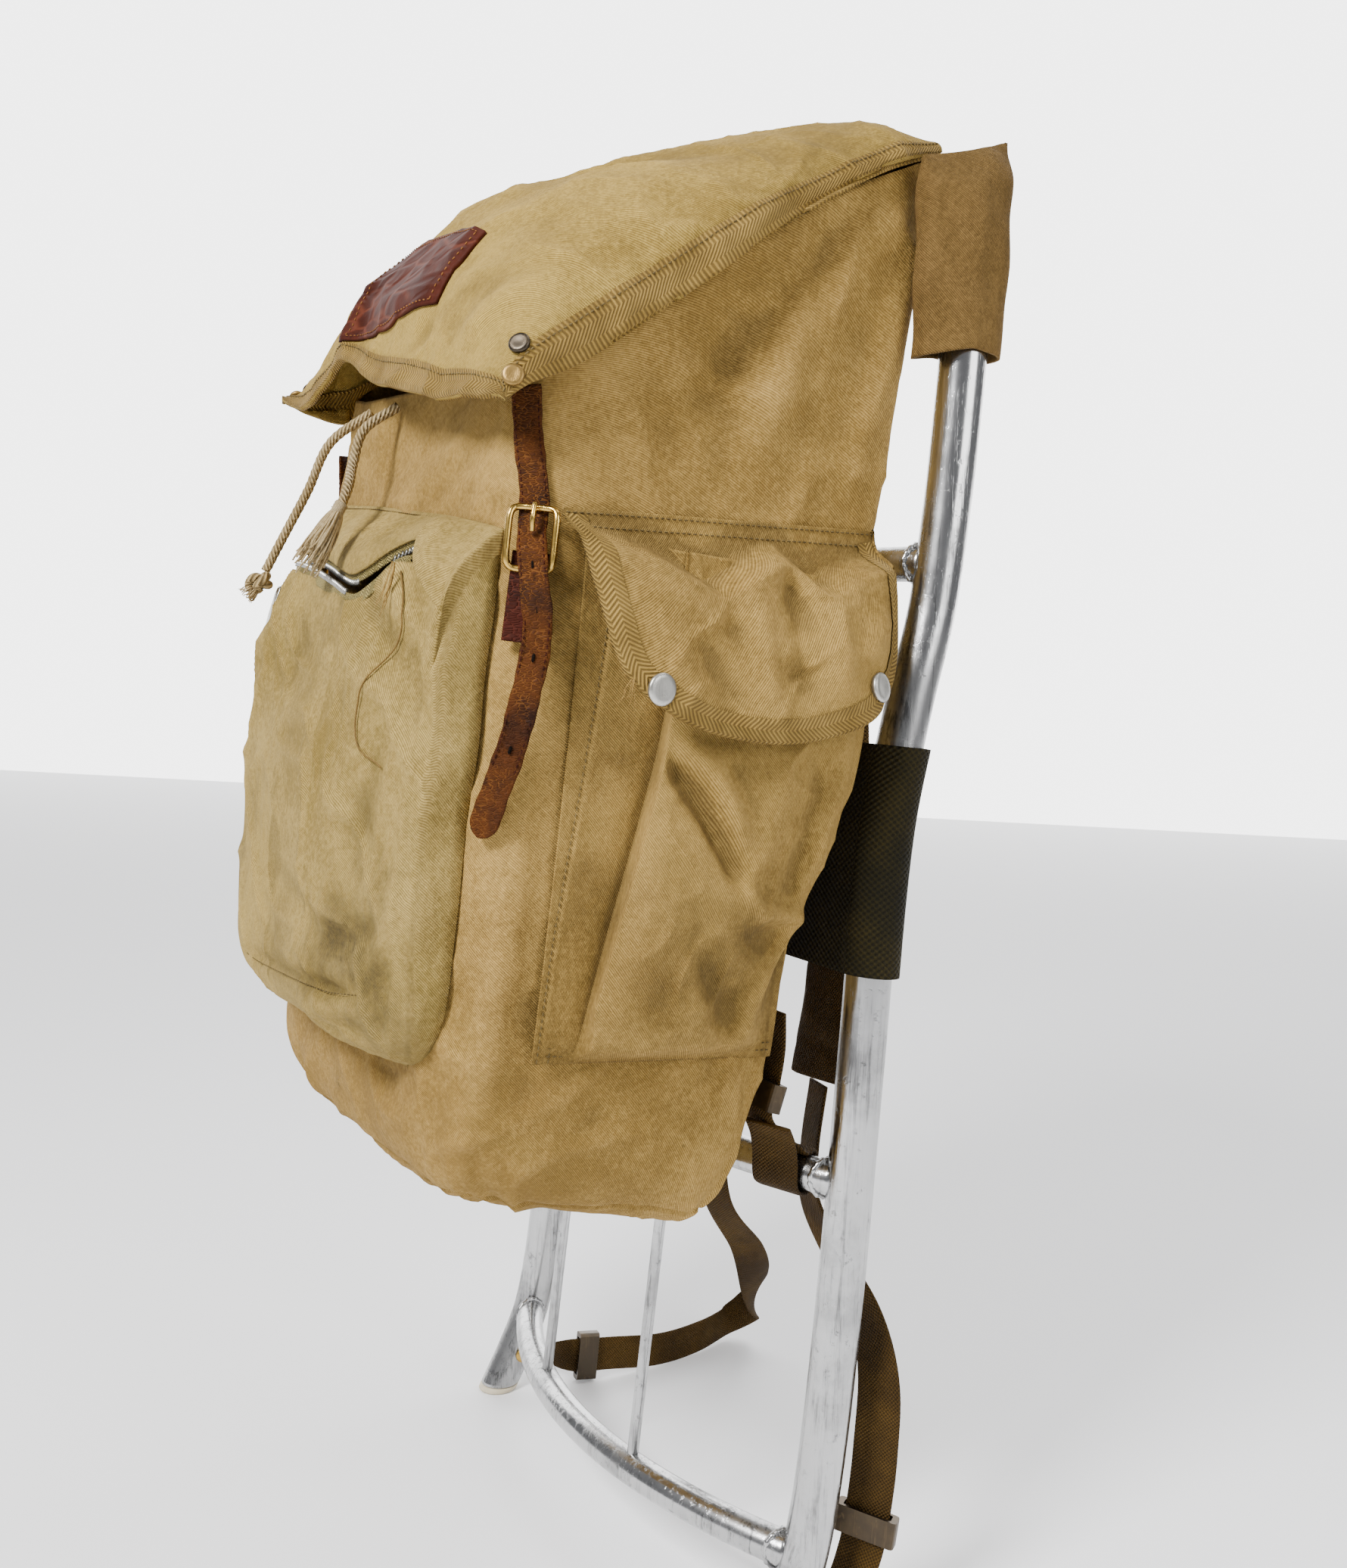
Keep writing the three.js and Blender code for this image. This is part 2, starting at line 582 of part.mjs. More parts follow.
const STRAP_ROWS = [
  { z: 645, out: 4, aside: -13 },
  { z: 620, out: 3, aside: -7 },
  { z: 594, out: 2.2, aside: -1 },
  { z: 574, out: 6.4, aside: 0 },
  { z: 552, out: 11, aside: 0 },
  { z: 500, out: 10, aside: 0 },
  { z: 434, out: 6, aside: 0 },
];

function addLidStraps() {
  for (const [word, side] of Object.entries(SIDES)) {
    const across = cornerAcross(side).toArray();
    const route = STRAP_ROWS.map(({ z, out, aside }) => ({
      at: cornerPoint(side, z, out).addScaledVector(cornerAcross(side), side * aside).toArray(), across,
    }));
    add(`lid_strap_${word}`, carried(route, flatProfile(STRAP), 16), leather);

    const { width, height, bar } = BUCKLE;
    const shape = new THREE.Shape(roundedBox(width, height, 5));
    shape.holes.push(new THREE.Path(roundedBox(width - 2 * bar, height - 2 * bar, 3)));
    const frame = new THREE.ExtrudeGeometry(shape, { depth: bar, bevelEnabled: false });
    const out = cornerOut(side);
    const basis = new THREE.Matrix4().makeBasis(vec(0, 0, 1).cross(out), vec(0, 0, 1), out);
    const seat = cornerPoint(side, BUCKLE.z, 4.6);
    add(`strap_buckle_${word}`, frame.applyMatrix4(basis).translate(seat.x, seat.y, seat.z), brass);

    const tab = [566, 548, 528].map((z) => ({ at: cornerPoint(side, z, 2.2).toArray(), across }));
    add(`buckle_tab_${word}`, carried(tab, flatProfile({ width: 18, thick: STRAP.thick }), 4), leather);
  }
}

function roundedBox(width, height, radius) {
  const [x, y] = [width / 2 - radius, height / 2 - radius];
  const corners = [[x, y, 0], [-x, y, 1], [-x, -y, 2], [x, -y, 3]];
  return corners.flatMap(([cx, cy, quarter]) => [0, 0.5, 1].map((part) => {
    const angle = ((quarter + part) * Math.PI) / 2;
    return new THREE.Vector2(cx + radius * Math.cos(angle), cy + radius * Math.sin(angle));
  }));
}

// Drawcords that hang from under the lid
function addCords() {
  for (const word of Object.keys(SIDES)) {
    const path = new THREE.CatmullRomCurve3(CORD_ROUTES[word].map((p) => vec(...p)));
    add(`drawcord_${word}`, tube(path, CORD.radius, CORD.sides, CORD.steps), cordYarn);
  }
  const knot = new THREE.SphereGeometry(KNOT.radius, 8, 6).rotateX(0.6);
  add('cord_knot', mergeVertices(strip(knot)).scale(1, 0.8, 1).translate(...KNOT.at), cordYarn);

  const [top, tip] = [vec(...TASSEL.at), vec(...TASSEL.tip)];
  const rows = [[0, 0.7], [0.12, 1], [0.3, 1.15], [0.65, 1.7], [1, 1.85]];
  const down = tip.clone().sub(top);
  const side = vec(1, 0, 0);
  const depth = down.clone().normalize().cross(side);
  const rings = rows.map(([share, spreadOut]) => spread(2 * TASSEL.locks).map((angle, i) => {
    const lock = 1 - (i % 2) * 0.22 * share;
    const radius = TASSEL.neck * spreadOut * lock;
    return top.clone().addScaledVector(down, share)
      .addScaledVector(side, radius * Math.cos(angle))
      .addScaledVector(depth, radius * 0.7 * Math.sin(angle));
  }));
  add('cord_tassel', ringBody(rings), cordYarn);
}

function strip(geometry) {
  geometry.deleteAttribute('normal');
  geometry.deleteAttribute('uv');
  return geometry;
}

// Front pocket: its back follows the bag, its face stands clear of it, its mouth is the zip
const frontRow = reader(FRONT_ROWS, 't');

function frontPoint(t, angle, inset = 0) {
  const row = frontRow(t);
  const exponent = 2 / FRONT.power;
  const x = FRONT.middle + (row.half - inset) * power(Math.cos(angle), exponent);
  const back = bagFront(x, row.z) - SEAT - inset;
  const share = (1 + power(Math.sin(angle), exponent)) / 2;
  const y = lerp(row.face + inset, back, share);
  return vec(x, y, row.z + inset * Math.max(0, 1 - t));
}

function addFrontPocket() {
  add('front_pocket', cup(frontPoint, FRONT.levels, FRONT_ROWS.length - 1, FRONT.around), canvas);
  const { x, z, width, drop, thick } = PULL;
  const faceY = column(FRONT_ROWS, 'z', 'face');
  const route = [z, z - drop / 2, z - drop].map((at) => ({
    at: [x, faceY(at) - thick / 2 + 0.1, at], across: [1, 0, 0],
  }));
  add('zip_pull', carried(route, flatProfile({ width, thick }), 3), nickel);
}

// Side pockets, flaps and snaps; the pockets stand out from the bag's sides
const pocketRow = reader(POCKET_ROWS, 'z');

const sideShare = (y, front, back) => ((y - front) / (back - front)) * 2 - 1;

function pocketOut(y, z) {
  const row = pocketRow(z);
  const share = sideShare(y, row.front, row.back);
  const bulge = Math.max(0, 1 - Math.abs(share) ** POCKET.power) ** 0.5;
  const pleat = POCKET.pleat * Math.exp(-(((share + 0.45) / 0.12) ** 2)) * ramp(z, 540, 440);
  return bagSide(y, z) + SEAT + (row.out + pleat) * bulge;
}

function pocketPoint(side) {
  const rowAt = reader(POCKET_ROWS, 't');
  return (t, angle, inset = 0) => {
    const row = rowAt(t);
    const y = lerp(row.front + inset, row.back - inset, (1 - power(Math.cos(angle), 0.8)) / 2);
    const inner = bagSide(y, row.z) + SEAT + inset;
    const outer = Math.max(pocketOut(y, row.z) - inset, inner + 0.6);
    const turn = Math.sin(angle);
    const share = Math.abs(turn) < 1e-6 ? 0.5 : (1 + Math.sign(turn)) / 2;
    return vec(side * lerp(inner, outer, share), y, row.z + inset * Math.max(0, 1 - t));
  };
}

function flapPoint(side, u, v) {
  const along = 2 * u - 1;
  const y = lerp(FLAP.front, FLAP.back, u);
  const low = FLAP.low + FLAP.corner * Math.abs(along) ** 5;
  const z = lerp(lerp(FLAP.topFront, FLAP.topBack, u), low, v);
  const row = pocketRow(z);
  const share = sideShare(y, row.front - FLAP.spare, row.back + FLAP.spare);
  const bulge = Math.max(0, 1 - Math.abs(share) ** 6) ** 0.5;
  const seat = bagSide(y, z) + GAP + CANVAS;
  return vec(side * (seat + (FLAP.clear + row.out * bulge) * ramp(v, 0, 0.2)), y, z);
}

function addSidePockets() {
  for (const [word, side] of Object.entries(SIDES)) {
    const around = POCKET.around;
    const top = POCKET_ROWS.length - 1;
    add(`side_pocket_${word}`, cup(pocketPoint(side), POCKET.levels, top, around), canvas);
    const face = (u, v) => flapPoint(side, side > 0 ? 1 - u : u, v);
    add(`side_flap_${word}`, wall(face, FLAP.across, FLAP.along, CANVAS, -CANVAS), canvas);
    FLAP_SNAPS.forEach(({ u, v }, i) => {
      const frame = frameOn((a, b) => flapPoint(side, a, b), (u + 1) / 2, v);
      add(`snap_${i === 0 ? 'front' : 'back'}_${word}`, seated(capProfile(SNAP), frame, 0.25), nickel);
    });
  }
}

// Sleeves over the rail tops, sewn shut above
function addSleeves() {
  const rowAt = reader(SLEEVE_ROWS.map((row, t) => ({ ...row, t })), 't');
  const top = SLEEVE_ROWS.length - 1;
  for (const [word, side] of Object.entries(SIDES)) {
    const point = (t, angle, inset) => {
      const row = rowAt(top - t);
      const [x, y] = [row.halfX - inset * 0.95, row.halfY - inset];
      const exponent = 2 / 3;
      return vec(
        side * (RAIL.x - 1) + x * power(Math.cos(angle), exponent),
        railY(row.z) + y * power(Math.sin(angle), exponent),
        row.z - inset * Math.max(0, 1 - t),
      );
    };
    add(`rail_sleeve_${word}`, cup(point, 4, top, 14), canvas);
  }
}

// A slide round the webbing: a flat ring at a share of the route's length
function slideOn(route, share, { width, height, bar, play }) {
  const { at, along, across, up } = routeFrame(route)(share);
  const slot = WEB.thick + 2 * play;
  const shape = new THREE.Shape(roundedBox(width, slot + bar, 2));
  shape.holes.push(new THREE.Path(roundedBox(width - 2 * bar, slot, 0.8)));
  return new THREE.ExtrudeGeometry(shape, { depth: height, bevelEnabled: false })
    .translate(0, 0, -height / 2).applyMatrix4(new THREE.Matrix4().makeBasis(across, up, along))
    .translate(at.x, at.y, at.z);
}

// Webbing ties round the lower crossbar, each with a blackened slide
function addTies() {
  const bar = BARS.crossbar_lower;
  for (const [word, side] of Object.entries(SIDES)) {
    const x = side * TIE.x;
    const slope = (2 * bar.bow * x) / RAIL.x ** 2;
    const across = vec(1, slope, 0).normalize();
    const away = vec(-across.y, across.x, 0);
    const centre = vec(x, barY(bar, x), bar.z);
    const hook = [0, 0.2, 0.4, 0.6, 0.8, 1].map((share) => {
      const angle = Math.PI * 0.62 - share * TIE.turn;
      return centre.clone().addScaledVector(away, TIE.wrap * Math.cos(angle))
        .add(vec(0, 0, TIE.wrap * Math.sin(angle))).toArray();
    });
    const hang = TIE_ROWS.map(({ z, seat }) => (
      { at: [x, bagBack(x, z) + seat, z], across: [1, 0, 0] }));
    const route = [...hang, ...hook.map((at) => ({ at, across: across.toArray() }))];
    add(`tie_strap_${word}`, carried(route, flatProfile(WEB), 17), webbing);
    add(`tie_buckle_${word}`, slideOn(route, TIE.slide, TIE_SLIDE), blackened);
  }
}

// Back band: a wide webbing loop round both rails
function addBand() {
  const loop = (radius) => [0, 1].flatMap((end) => Array.from({ length: 9 }, (_, i) => {
    const angle = end * Math.PI - Math.PI / 2 + (i / 8) * Math.PI;
    const x = (end === 0 ? 1 : -1) * RAIL.x;
    return new THREE.Vector2(x + radius * Math.cos(angle), radius * Math.sin(angle));
  }));
  const inner = clearRadius(RAIL.radius + 2 * GAP, 16);
  const shape = new THREE.Shape(loop(inner + BAND.thick));
  shape.holes.push(new THREE.Path(loop(inner)));
  const band = new THREE.ExtrudeGeometry(shape, {
    depth: BAND.high - BAND.low, steps: 5, bevelEnabled: false,
  }).translate(0, 0, BAND.low);
  const points = band.attributes.position;
  for (let i = 0; i < points.count; i += 1) points.setY(i, points.getY(i) + railY(points.getZ(i)));
  add('back_band', band, webbing);
}

// Shoulder straps: a padded top, webbing down to the foot, and a slide on it
function addShoulderStraps() {
  for (const word of Object.keys(SIDES)) {
    add(`shoulder_pad_${word}`, carried(PAD_ROUTES[word], padProfile(PAD), 12), webbing);
    add(`shoulder_web_${word}`, carried(WEB_ROUTES[word], flatProfile(WEB), 28), webbing);
    add(`web_slide_${word}`, slideOn(WEB_ROUTES[word], SLIDES[word], SLIDE), blackened);
  }
}

addRails();
addCrossbars();
addRods();
addBag();
addLid();
addLidStraps();
addCords();
addFrontPocket();
addSidePockets();
addSleeves();
addTies();
addBand();
addShoulderStraps();

export default pack;
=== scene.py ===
"""A canvas rucksack on an aluminium pack frame: cloth, leather, metal, light and camera."""

import bpy
import numpy as np
from mathutils import Matrix

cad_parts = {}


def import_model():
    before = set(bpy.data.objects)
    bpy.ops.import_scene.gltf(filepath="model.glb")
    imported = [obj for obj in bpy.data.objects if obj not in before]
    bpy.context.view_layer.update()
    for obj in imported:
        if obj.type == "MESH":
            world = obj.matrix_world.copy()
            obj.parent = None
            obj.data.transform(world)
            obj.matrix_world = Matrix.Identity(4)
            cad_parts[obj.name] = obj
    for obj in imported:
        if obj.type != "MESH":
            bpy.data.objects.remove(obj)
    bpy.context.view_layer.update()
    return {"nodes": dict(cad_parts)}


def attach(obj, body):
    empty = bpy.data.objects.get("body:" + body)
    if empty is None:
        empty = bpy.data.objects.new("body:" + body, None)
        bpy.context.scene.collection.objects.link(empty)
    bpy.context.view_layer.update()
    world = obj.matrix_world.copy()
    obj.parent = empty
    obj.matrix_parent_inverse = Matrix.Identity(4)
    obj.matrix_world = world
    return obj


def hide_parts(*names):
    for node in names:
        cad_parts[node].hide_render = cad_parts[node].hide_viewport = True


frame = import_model()

# Lengths are millimetres in the pack's own frame, upright along its rails. The pack leans back by
# LEAN, and world() takes points into the part's frame in metres.
LEAN, SHIFT = 0.066, 27.77
TAU = 2 * np.pi
SIDES = dict(right=1, left=-1)


def world(points):
    """Pack millimetres to metres: a turn by LEAN about X, then a shift along Y."""
    p = np.asarray(points, float)
    c, s = np.cos(LEAN), np.sin(LEAN)
    y, z = p[..., 1], p[..., 2]
    return np.stack([p[..., 0], y * c + z * s + SHIFT, z * c - y * s], -1) / 1000


def upright(points):
    """Levelled millimetres, as on the table, back to the pack's frame."""
    p = np.asarray(points, float)
    c, s = np.cos(LEAN), np.sin(LEAN)
    y, z = p[..., 1], p[..., 2]
    return np.stack([p[..., 0], y * c - z * s, z * c + y * s], -1)


def turned(vectors):
    """Directions of the pack's frame in the part's frame."""
    return (world(vectors) - world(np.zeros(3))) * 1000


# Camera at the photo's angle
CAMERA = dict(at=(745.6, -493.9, 490.7), azimuth=58.33, elevation=1.95, roll=-6.21, lens=32.33)


def add_camera():
    """A camera turned by its azimuth, elevation and roll, whose picture is 36 mm high."""
    az, el, roll = np.radians([CAMERA["azimuth"], CAMERA["elevation"], CAMERA["roll"]])
    ahead = np.array([-np.sin(az) * np.cos(el), np.cos(az) * np.cos(el), -np.sin(el)])
    side = np.array([np.cos(az), np.sin(az), 0])
    down = np.cross(ahead, side)
    right = np.cos(roll) * side + np.sin(roll) * down
    below = -np.sin(roll) * side + np.cos(roll) * down
    data = bpy.data.cameras.new("camera")
    data.sensor_fit, data.sensor_height, data.lens = "VERTICAL", 36, CAMERA["lens"]
    data.clip_start, data.clip_end = 0.01, 50
    camera = bpy.data.objects.new("camera", data)
    bpy.context.scene.collection.objects.link(camera)
    columns = turned(np.array([right, -below, -ahead]))
    matrix = np.eye(4)
    matrix[:3, :3] = columns.T
    matrix[:3, 3] = world(CAMERA["at"])
    camera.matrix_world = Matrix(matrix.tolist())
    bpy.context.scene.camera = camera


add_camera()


# Curves, sweeps and meshes; CLOTH is the thickness of the heavy cloth
CLOTH = 1.8


def column(at, keys, values):
    """Cubic through a table: between two rows a Hermite piece whose slopes come from the rows beside them."""
    at, keys, values = np.asarray(at, float), np.asarray(keys, float), np.asarray(values, float)
    i = np.clip(np.searchsorted(keys, at) - 1, 0, len(keys) - 2)
    before, after = np.maximum(i - 1, 0), np.minimum(i + 2, len(keys) - 1)
    span = keys[i + 1] - keys[i]
    t = np.clip((at - keys[i]) / span, 0, 1)
    shape = span.shape + (1,) * (values.ndim - 1)
    wide = lambda a: np.reshape(a, shape)
    leave = (values[i + 1] - values[before]) * wide(span / (keys[i + 1] - keys[before]))
    arrive = (values[after] - values[i]) * wide(span / (keys[after] - keys[i]))
    t = wide(t)
    return ((2 * t**3 - 3 * t**2 + 1) * values[i] + (t**3 - 2 * t**2 + t) * leave
            + (3 * t**2 - 2 * t**3) * values[i + 1] + (t**3 - t**2) * arrive)


def unit(v):
    """Vectors at length one."""
    return v / np.maximum(np.linalg.norm(v, axis=-1, keepdims=True), 1e-9)


def lengths(path):
    """Length along a path at each of its points."""
    return np.concatenate([[0], np.cumsum(np.linalg.norm(np.diff(path, axis=0), axis=1))])


def between_rows(at, keys, rows):
    """Straight-line values of each column of rows, at places between the keys."""
    return np.stack([np.interp(at, keys, rows[:, k]) for k in range(rows.shape[1])], -1)


def stations(line, at):
    """Points at lengths along a line, and the line's direction there."""
    gap = lengths(line)
    return between_rows(at, gap, line), unit(between_rows(at, gap, np.gradient(line, gap, axis=0)))


def read_table(rows, at):
    """Smooth values of a table at places in its first column, one array for each other column."""
    values = np.moveaxis(column(at, rows[:, 0], rows[:, 1:]), -1, 0)
    return values[0] if len(values) == 1 else values


def read_rows(rows, t):
    """Smooth values of a table at row numbers t, one array for each column."""
    return np.moveaxis(column(t, np.arange(len(rows)), rows), -1, 0)


def softened(values, reach=4):
    """Running mean of a row of values over reach neighbours to each side."""
    return np.convolve(np.pad(values, reach, "edge"), np.ones(2 * reach + 1) / (2 * reach + 1), "valid")


def route(points, count, across=None):
    """Smooth curve through points, stepped evenly; with across, the width's direction goes along too."""
    p = np.asarray(points, float)
    knots = np.concatenate([[0], np.cumsum(np.linalg.norm(np.diff(p, axis=0), axis=1) ** 0.5)])
    rows = p if across is None else np.concatenate([p, np.asarray(across, float)], 1)
    fine = column(np.linspace(0, knots[-1], 60 * len(p)), knots, rows)
    length = lengths(fine[:, :3])
    return between_rows(np.linspace(0, length[-1], count), length, fine)


def framed(path, across):
    """Tangent, width and height directions along a path whose width leans towards across."""
    along = unit(np.gradient(path, axis=0))
    wide = np.broadcast_to(across, path.shape)
    wide = unit(wide - (wide * along).sum(-1, keepdims=True) * along)
    return along, wide, np.cross(along, wide)


def swept(path, across, profile):
    """A profile of (width, height) points carried along a path."""
    _, wide, high = framed(path, across)
    profile = np.asarray(profile, float)
    if profile.ndim == 2:
        profile = profile[None]
    return path[:, None] + wide[:, None] * profile[..., :1] + high[:, None] * profile[..., 1:]


def circle(radius, sides):
    """Points of a circle, as (width, height)."""
    a = np.arange(sides) / sides * TAU
    return np.stack([np.cos(a), np.sin(a)], -1) * radius


def closed_tube(ring, across, radius, sides, swelling=1.0):
    """A circle carried round a closed ring of points; swelling scales it from point to point."""
    _, wide, high = framed(np.concatenate([ring[-1:], ring, ring[:1]]), across)
    c = circle(radius, sides)
    return ring[:, None] + (wide[1:-1, None] * c[:, :1] + high[1:-1, None] * c[:, 1:]) * swelling


def spow(value, exponent):
    """Power of the size, with the sign kept."""
    return np.sign(value) * np.abs(value) ** exponent


def slab(width, thick, sides=28, power=8):
    """Section of a flat strap: a superellipse of the strap's width and thickness."""
    a = (np.arange(sides) + 0.5) / sides * TAU
    return np.stack([spow(np.cos(a), 2 / power) * width / 2, spow(np.sin(a), 2 / 3) * thick / 2], -1)


def ramp(value, low, high):
    """0 below low, 1 above high, and 3tt - 2ttt in between."""
    t = np.clip((value - low) / (high - low), 0, 1)
    return t * t * (3 - 2 * t)


def waves(points, length, seed, count=7):
    """Smooth unevenness from -1 to 1: a mean of sine waves of about one length, in fixed directions."""
    rng = np.random.default_rng(seed)
    direction = unit(rng.normal(size=(count, 3))) * TAU / (length * rng.uniform(0.7, 1.5, (count, 1)))
    phase = rng.uniform(0, TAU, count)
    return np.sin(np.asarray(points) @ direction.T + phase).mean(-1) * 1.6


def folds(points, lines):
    """Sum of folds: each has its ends, width and height, and falls off as a Gauss curve to both sides."""
    total = np.zeros(points.shape[:-1])
    for a, b, width, height in lines:
        a, b = np.asarray(a, float), np.asarray(b, float)
        span = b - a
        t = np.clip(((points - a) @ span) / (span @ span), 0, 1)
        gap = np.linalg.norm(points - (a + t[..., None] * span), axis=-1)
        total += height * np.exp(-((gap / width) ** 2)) * (1 - 0.5 * np.abs(2 * t - 1) ** 3)
    return total


def crumple(points, length, seed):
    """A net of soft creases: ridges along the zero lines of smooth waves, bent by slower waves."""
    bend = np.stack([waves(points, length * 1.7, seed + k) for k in (1, 2, 3)], -1)
    ridge = 1 - np.abs(waves(points + bend * length * 0.35, length, seed)).clip(0, 1)
    return ridge**4 - 0.2


def make_mesh(name, points, faces, uv):
    """One mesh object from points, face arrays of equal widths and texture coordinates for each corner."""
    data = bpy.data.meshes.new(name)
    loops = np.concatenate([f.ravel() for f in faces])
    totals = np.concatenate([np.full(len(f), f.shape[1]) for f in faces])
    data.vertices.add(len(points))
    data.vertices.foreach_set("co", world(points).ravel())
    data.loops.add(len(loops))
    data.loops.foreach_set("vertex_index", loops.astype(np.int32))
    data.polygons.add(len(totals))
    data.polygons.foreach_set("loop_start", (np.cumsum(totals) - totals).astype(np.int32))
    data.polygons.foreach_set("loop_total", totals.astype(np.int32))
    data.polygons.foreach_set("use_smooth", np.ones(len(totals), bool))
    layer = data.uv_layers.new(name="cloth")
    layer.data.foreach_set("uv", np.concatenate(uv).astype(np.float32).ravel())
    data.update(calc_edges=True)
    data.validate()
    obj = bpy.data.objects.new(name, data)
    bpy.context.scene.collection.objects.link(obj)
    return obj


def grid_faces(grid, wrap, loop, caps):
    """Quads over a grid of points, with arc lengths in metres as texture coordinates."""
    rows, cols = grid.shape[:2]
    full = np.concatenate([grid, grid[:, :1]], 1) if wrap else grid
    full = np.concatenate([full, full[:1]], 0) if loop else full
    gap = lambda axis: np.linalg.norm(np.diff(full, axis=axis), axis=-1).mean(1 - axis)
    u = np.concatenate([[0], np.cumsum(gap(1))]) / 1000
    v = np.concatenate([[0], np.cumsum(gap(0))]) / 1000
    i, j = np.meshgrid(np.arange(len(v) - 1), np.arange(len(u) - 1), indexing="ij")
    spot = lambda a, b: ((i + a) % rows) * cols + (j + b) % cols
    corners = [(0, 0), (0, 1), (1, 1), (1, 0)]
    faces = [np.stack([spot(a, b) for a, b in corners], -1).reshape(-1, 4)]
    uv = [np.stack([np.stack([u[j + b], v[i + a]], -1) for a, b in corners], 2).reshape(-1, 2)]
    if caps:
        ring = np.arange(cols)
        faces += [ring[None, ::-1], (ring + (rows - 1) * cols)[None]]
        uv += [np.zeros((2 * cols, 2))]
    return faces, uv


def facing(points, faces, out):
    """True where the faces look out: away from the middle, or along out where it is given."""
    f = np.concatenate([face[:, :3] for face in faces])
    a, b, c = points[f[:, 0]], points[f[:, 1]], points[f[:, 2]]
    normal = np.cross(b - a, c - a)
    if out is not None:
        return (normal @ np.asarray(out, float)).sum() > 0
    quads = faces[0]
    d = points[quads[:, 0]], points[quads[:, 1]], points[quads[:, 2]], points[quads[:, 3]]
    middle = points.mean(0)
    volume = (np.cross(d[0] - middle, d[1] - middle) * (d[2] - middle)).sum()
    volume += (np.cross(d[0] - middle, d[2] - middle) * (d[3] - middle)).sum()
    return volume > 0


def grid_normals(grid, wrap):
    """Normals of a grid of points from the cross product of its two directions."""
    if wrap:
        around = np.roll(grid, -1, 1) - np.roll(grid, 1, 1)
    else:
        around = np.gradient(grid, axis=1)
    return unit(np.cross(around, np.gradient(grid, axis=0)))


def relief(grid, wrap, loop, reach=14.0):
    """How deep each point lies under the mean of four neighbours at about that reach, along the normal."""
    total = np.zeros_like(grid)
    for axis, closed in ((0, loop), (1, wrap)):
        size = np.linalg.norm(np.diff(grid, axis=axis), axis=-1).mean()
        steps = int(np.clip(round(reach / max(size, 1e-6)), 1, max(1, grid.shape[axis] // 4)))
        pads = [(0, 0)] * 3
        pads[axis] = (steps, steps)
        full = np.pad(grid, pads, mode="wrap" if closed else "edge")
        count = grid.shape[axis]
        total += np.take(full, np.arange(count), axis) + np.take(full, np.arange(count) + 2 * steps, axis)
    return ((total / 4 - grid) * grid_normals(grid, wrap)).sum(-1)


def finish_piece(obj, paint, nodes=()):
    """Gives a mesh its finish and its body, and hides the part's nodes that it replaces."""
    obj.data.materials.append(paint)
    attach(obj, "root")
    if nodes:
        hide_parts(*nodes)
    return obj


def piece(name, grid, paint, nodes=(), wrap=True, loop=False, caps=None, out=None, wall=0):
    """A named piece from a grid of points; wall gives an open cloth its thickness, inwards."""
    grid = np.asarray(grid, float)
    caps = wrap and not loop and not wall if caps is None else caps
    points = grid.reshape(-1, 3)
    faces, uv = grid_faces(grid, wrap, loop, caps)
    deep = relief(grid, wrap, loop)
    if not facing(points, faces, out):
        deep = -deep
        faces = [f[:, ::-1] for f in faces]
        uv[0] = uv[0].reshape(-1, 4, 2)[:, ::-1].reshape(-1, 2)
    obj = make_mesh(name, points, faces, uv)
    # The relief depth drives the canvas finishes' painted shade in the hollows and painted highlight on the
    # ridges.
    layer = obj.data.attributes.new("relief", "FLOAT", "POINT")
    layer.data.foreach_set("value", deep.ravel().astype(np.float32))
    if wall:
        solid = obj.modifiers.new("wall", "SOLIDIFY")
        solid.thickness, solid.offset = wall / 1000, -1
    return finish_piece(obj, paint, nodes)


def many(name, unit_points, unit_faces, places, paint, nodes=()):
    """Copies of one small shape: places is (count, 4, 3), an origin and the three axes of each copy."""
    places = np.asarray(places, float)
    shape = np.asarray(unit_points, float)
    points = places[:, None, 0] + np.einsum("vk,ckd->cvd", shape, places[:, 1:])
    faces = [(f[None] + (np.arange(len(places)) * len(shape))[:, None, None]).reshape(-1, f.shape[1])
             for f in [np.asarray(f) for f in unit_faces]]
    uv = [np.zeros((f.size, 2)) for f in faces]
    return finish_piece(make_mesh(name, points.reshape(-1, 3), faces, uv), paint, nodes)


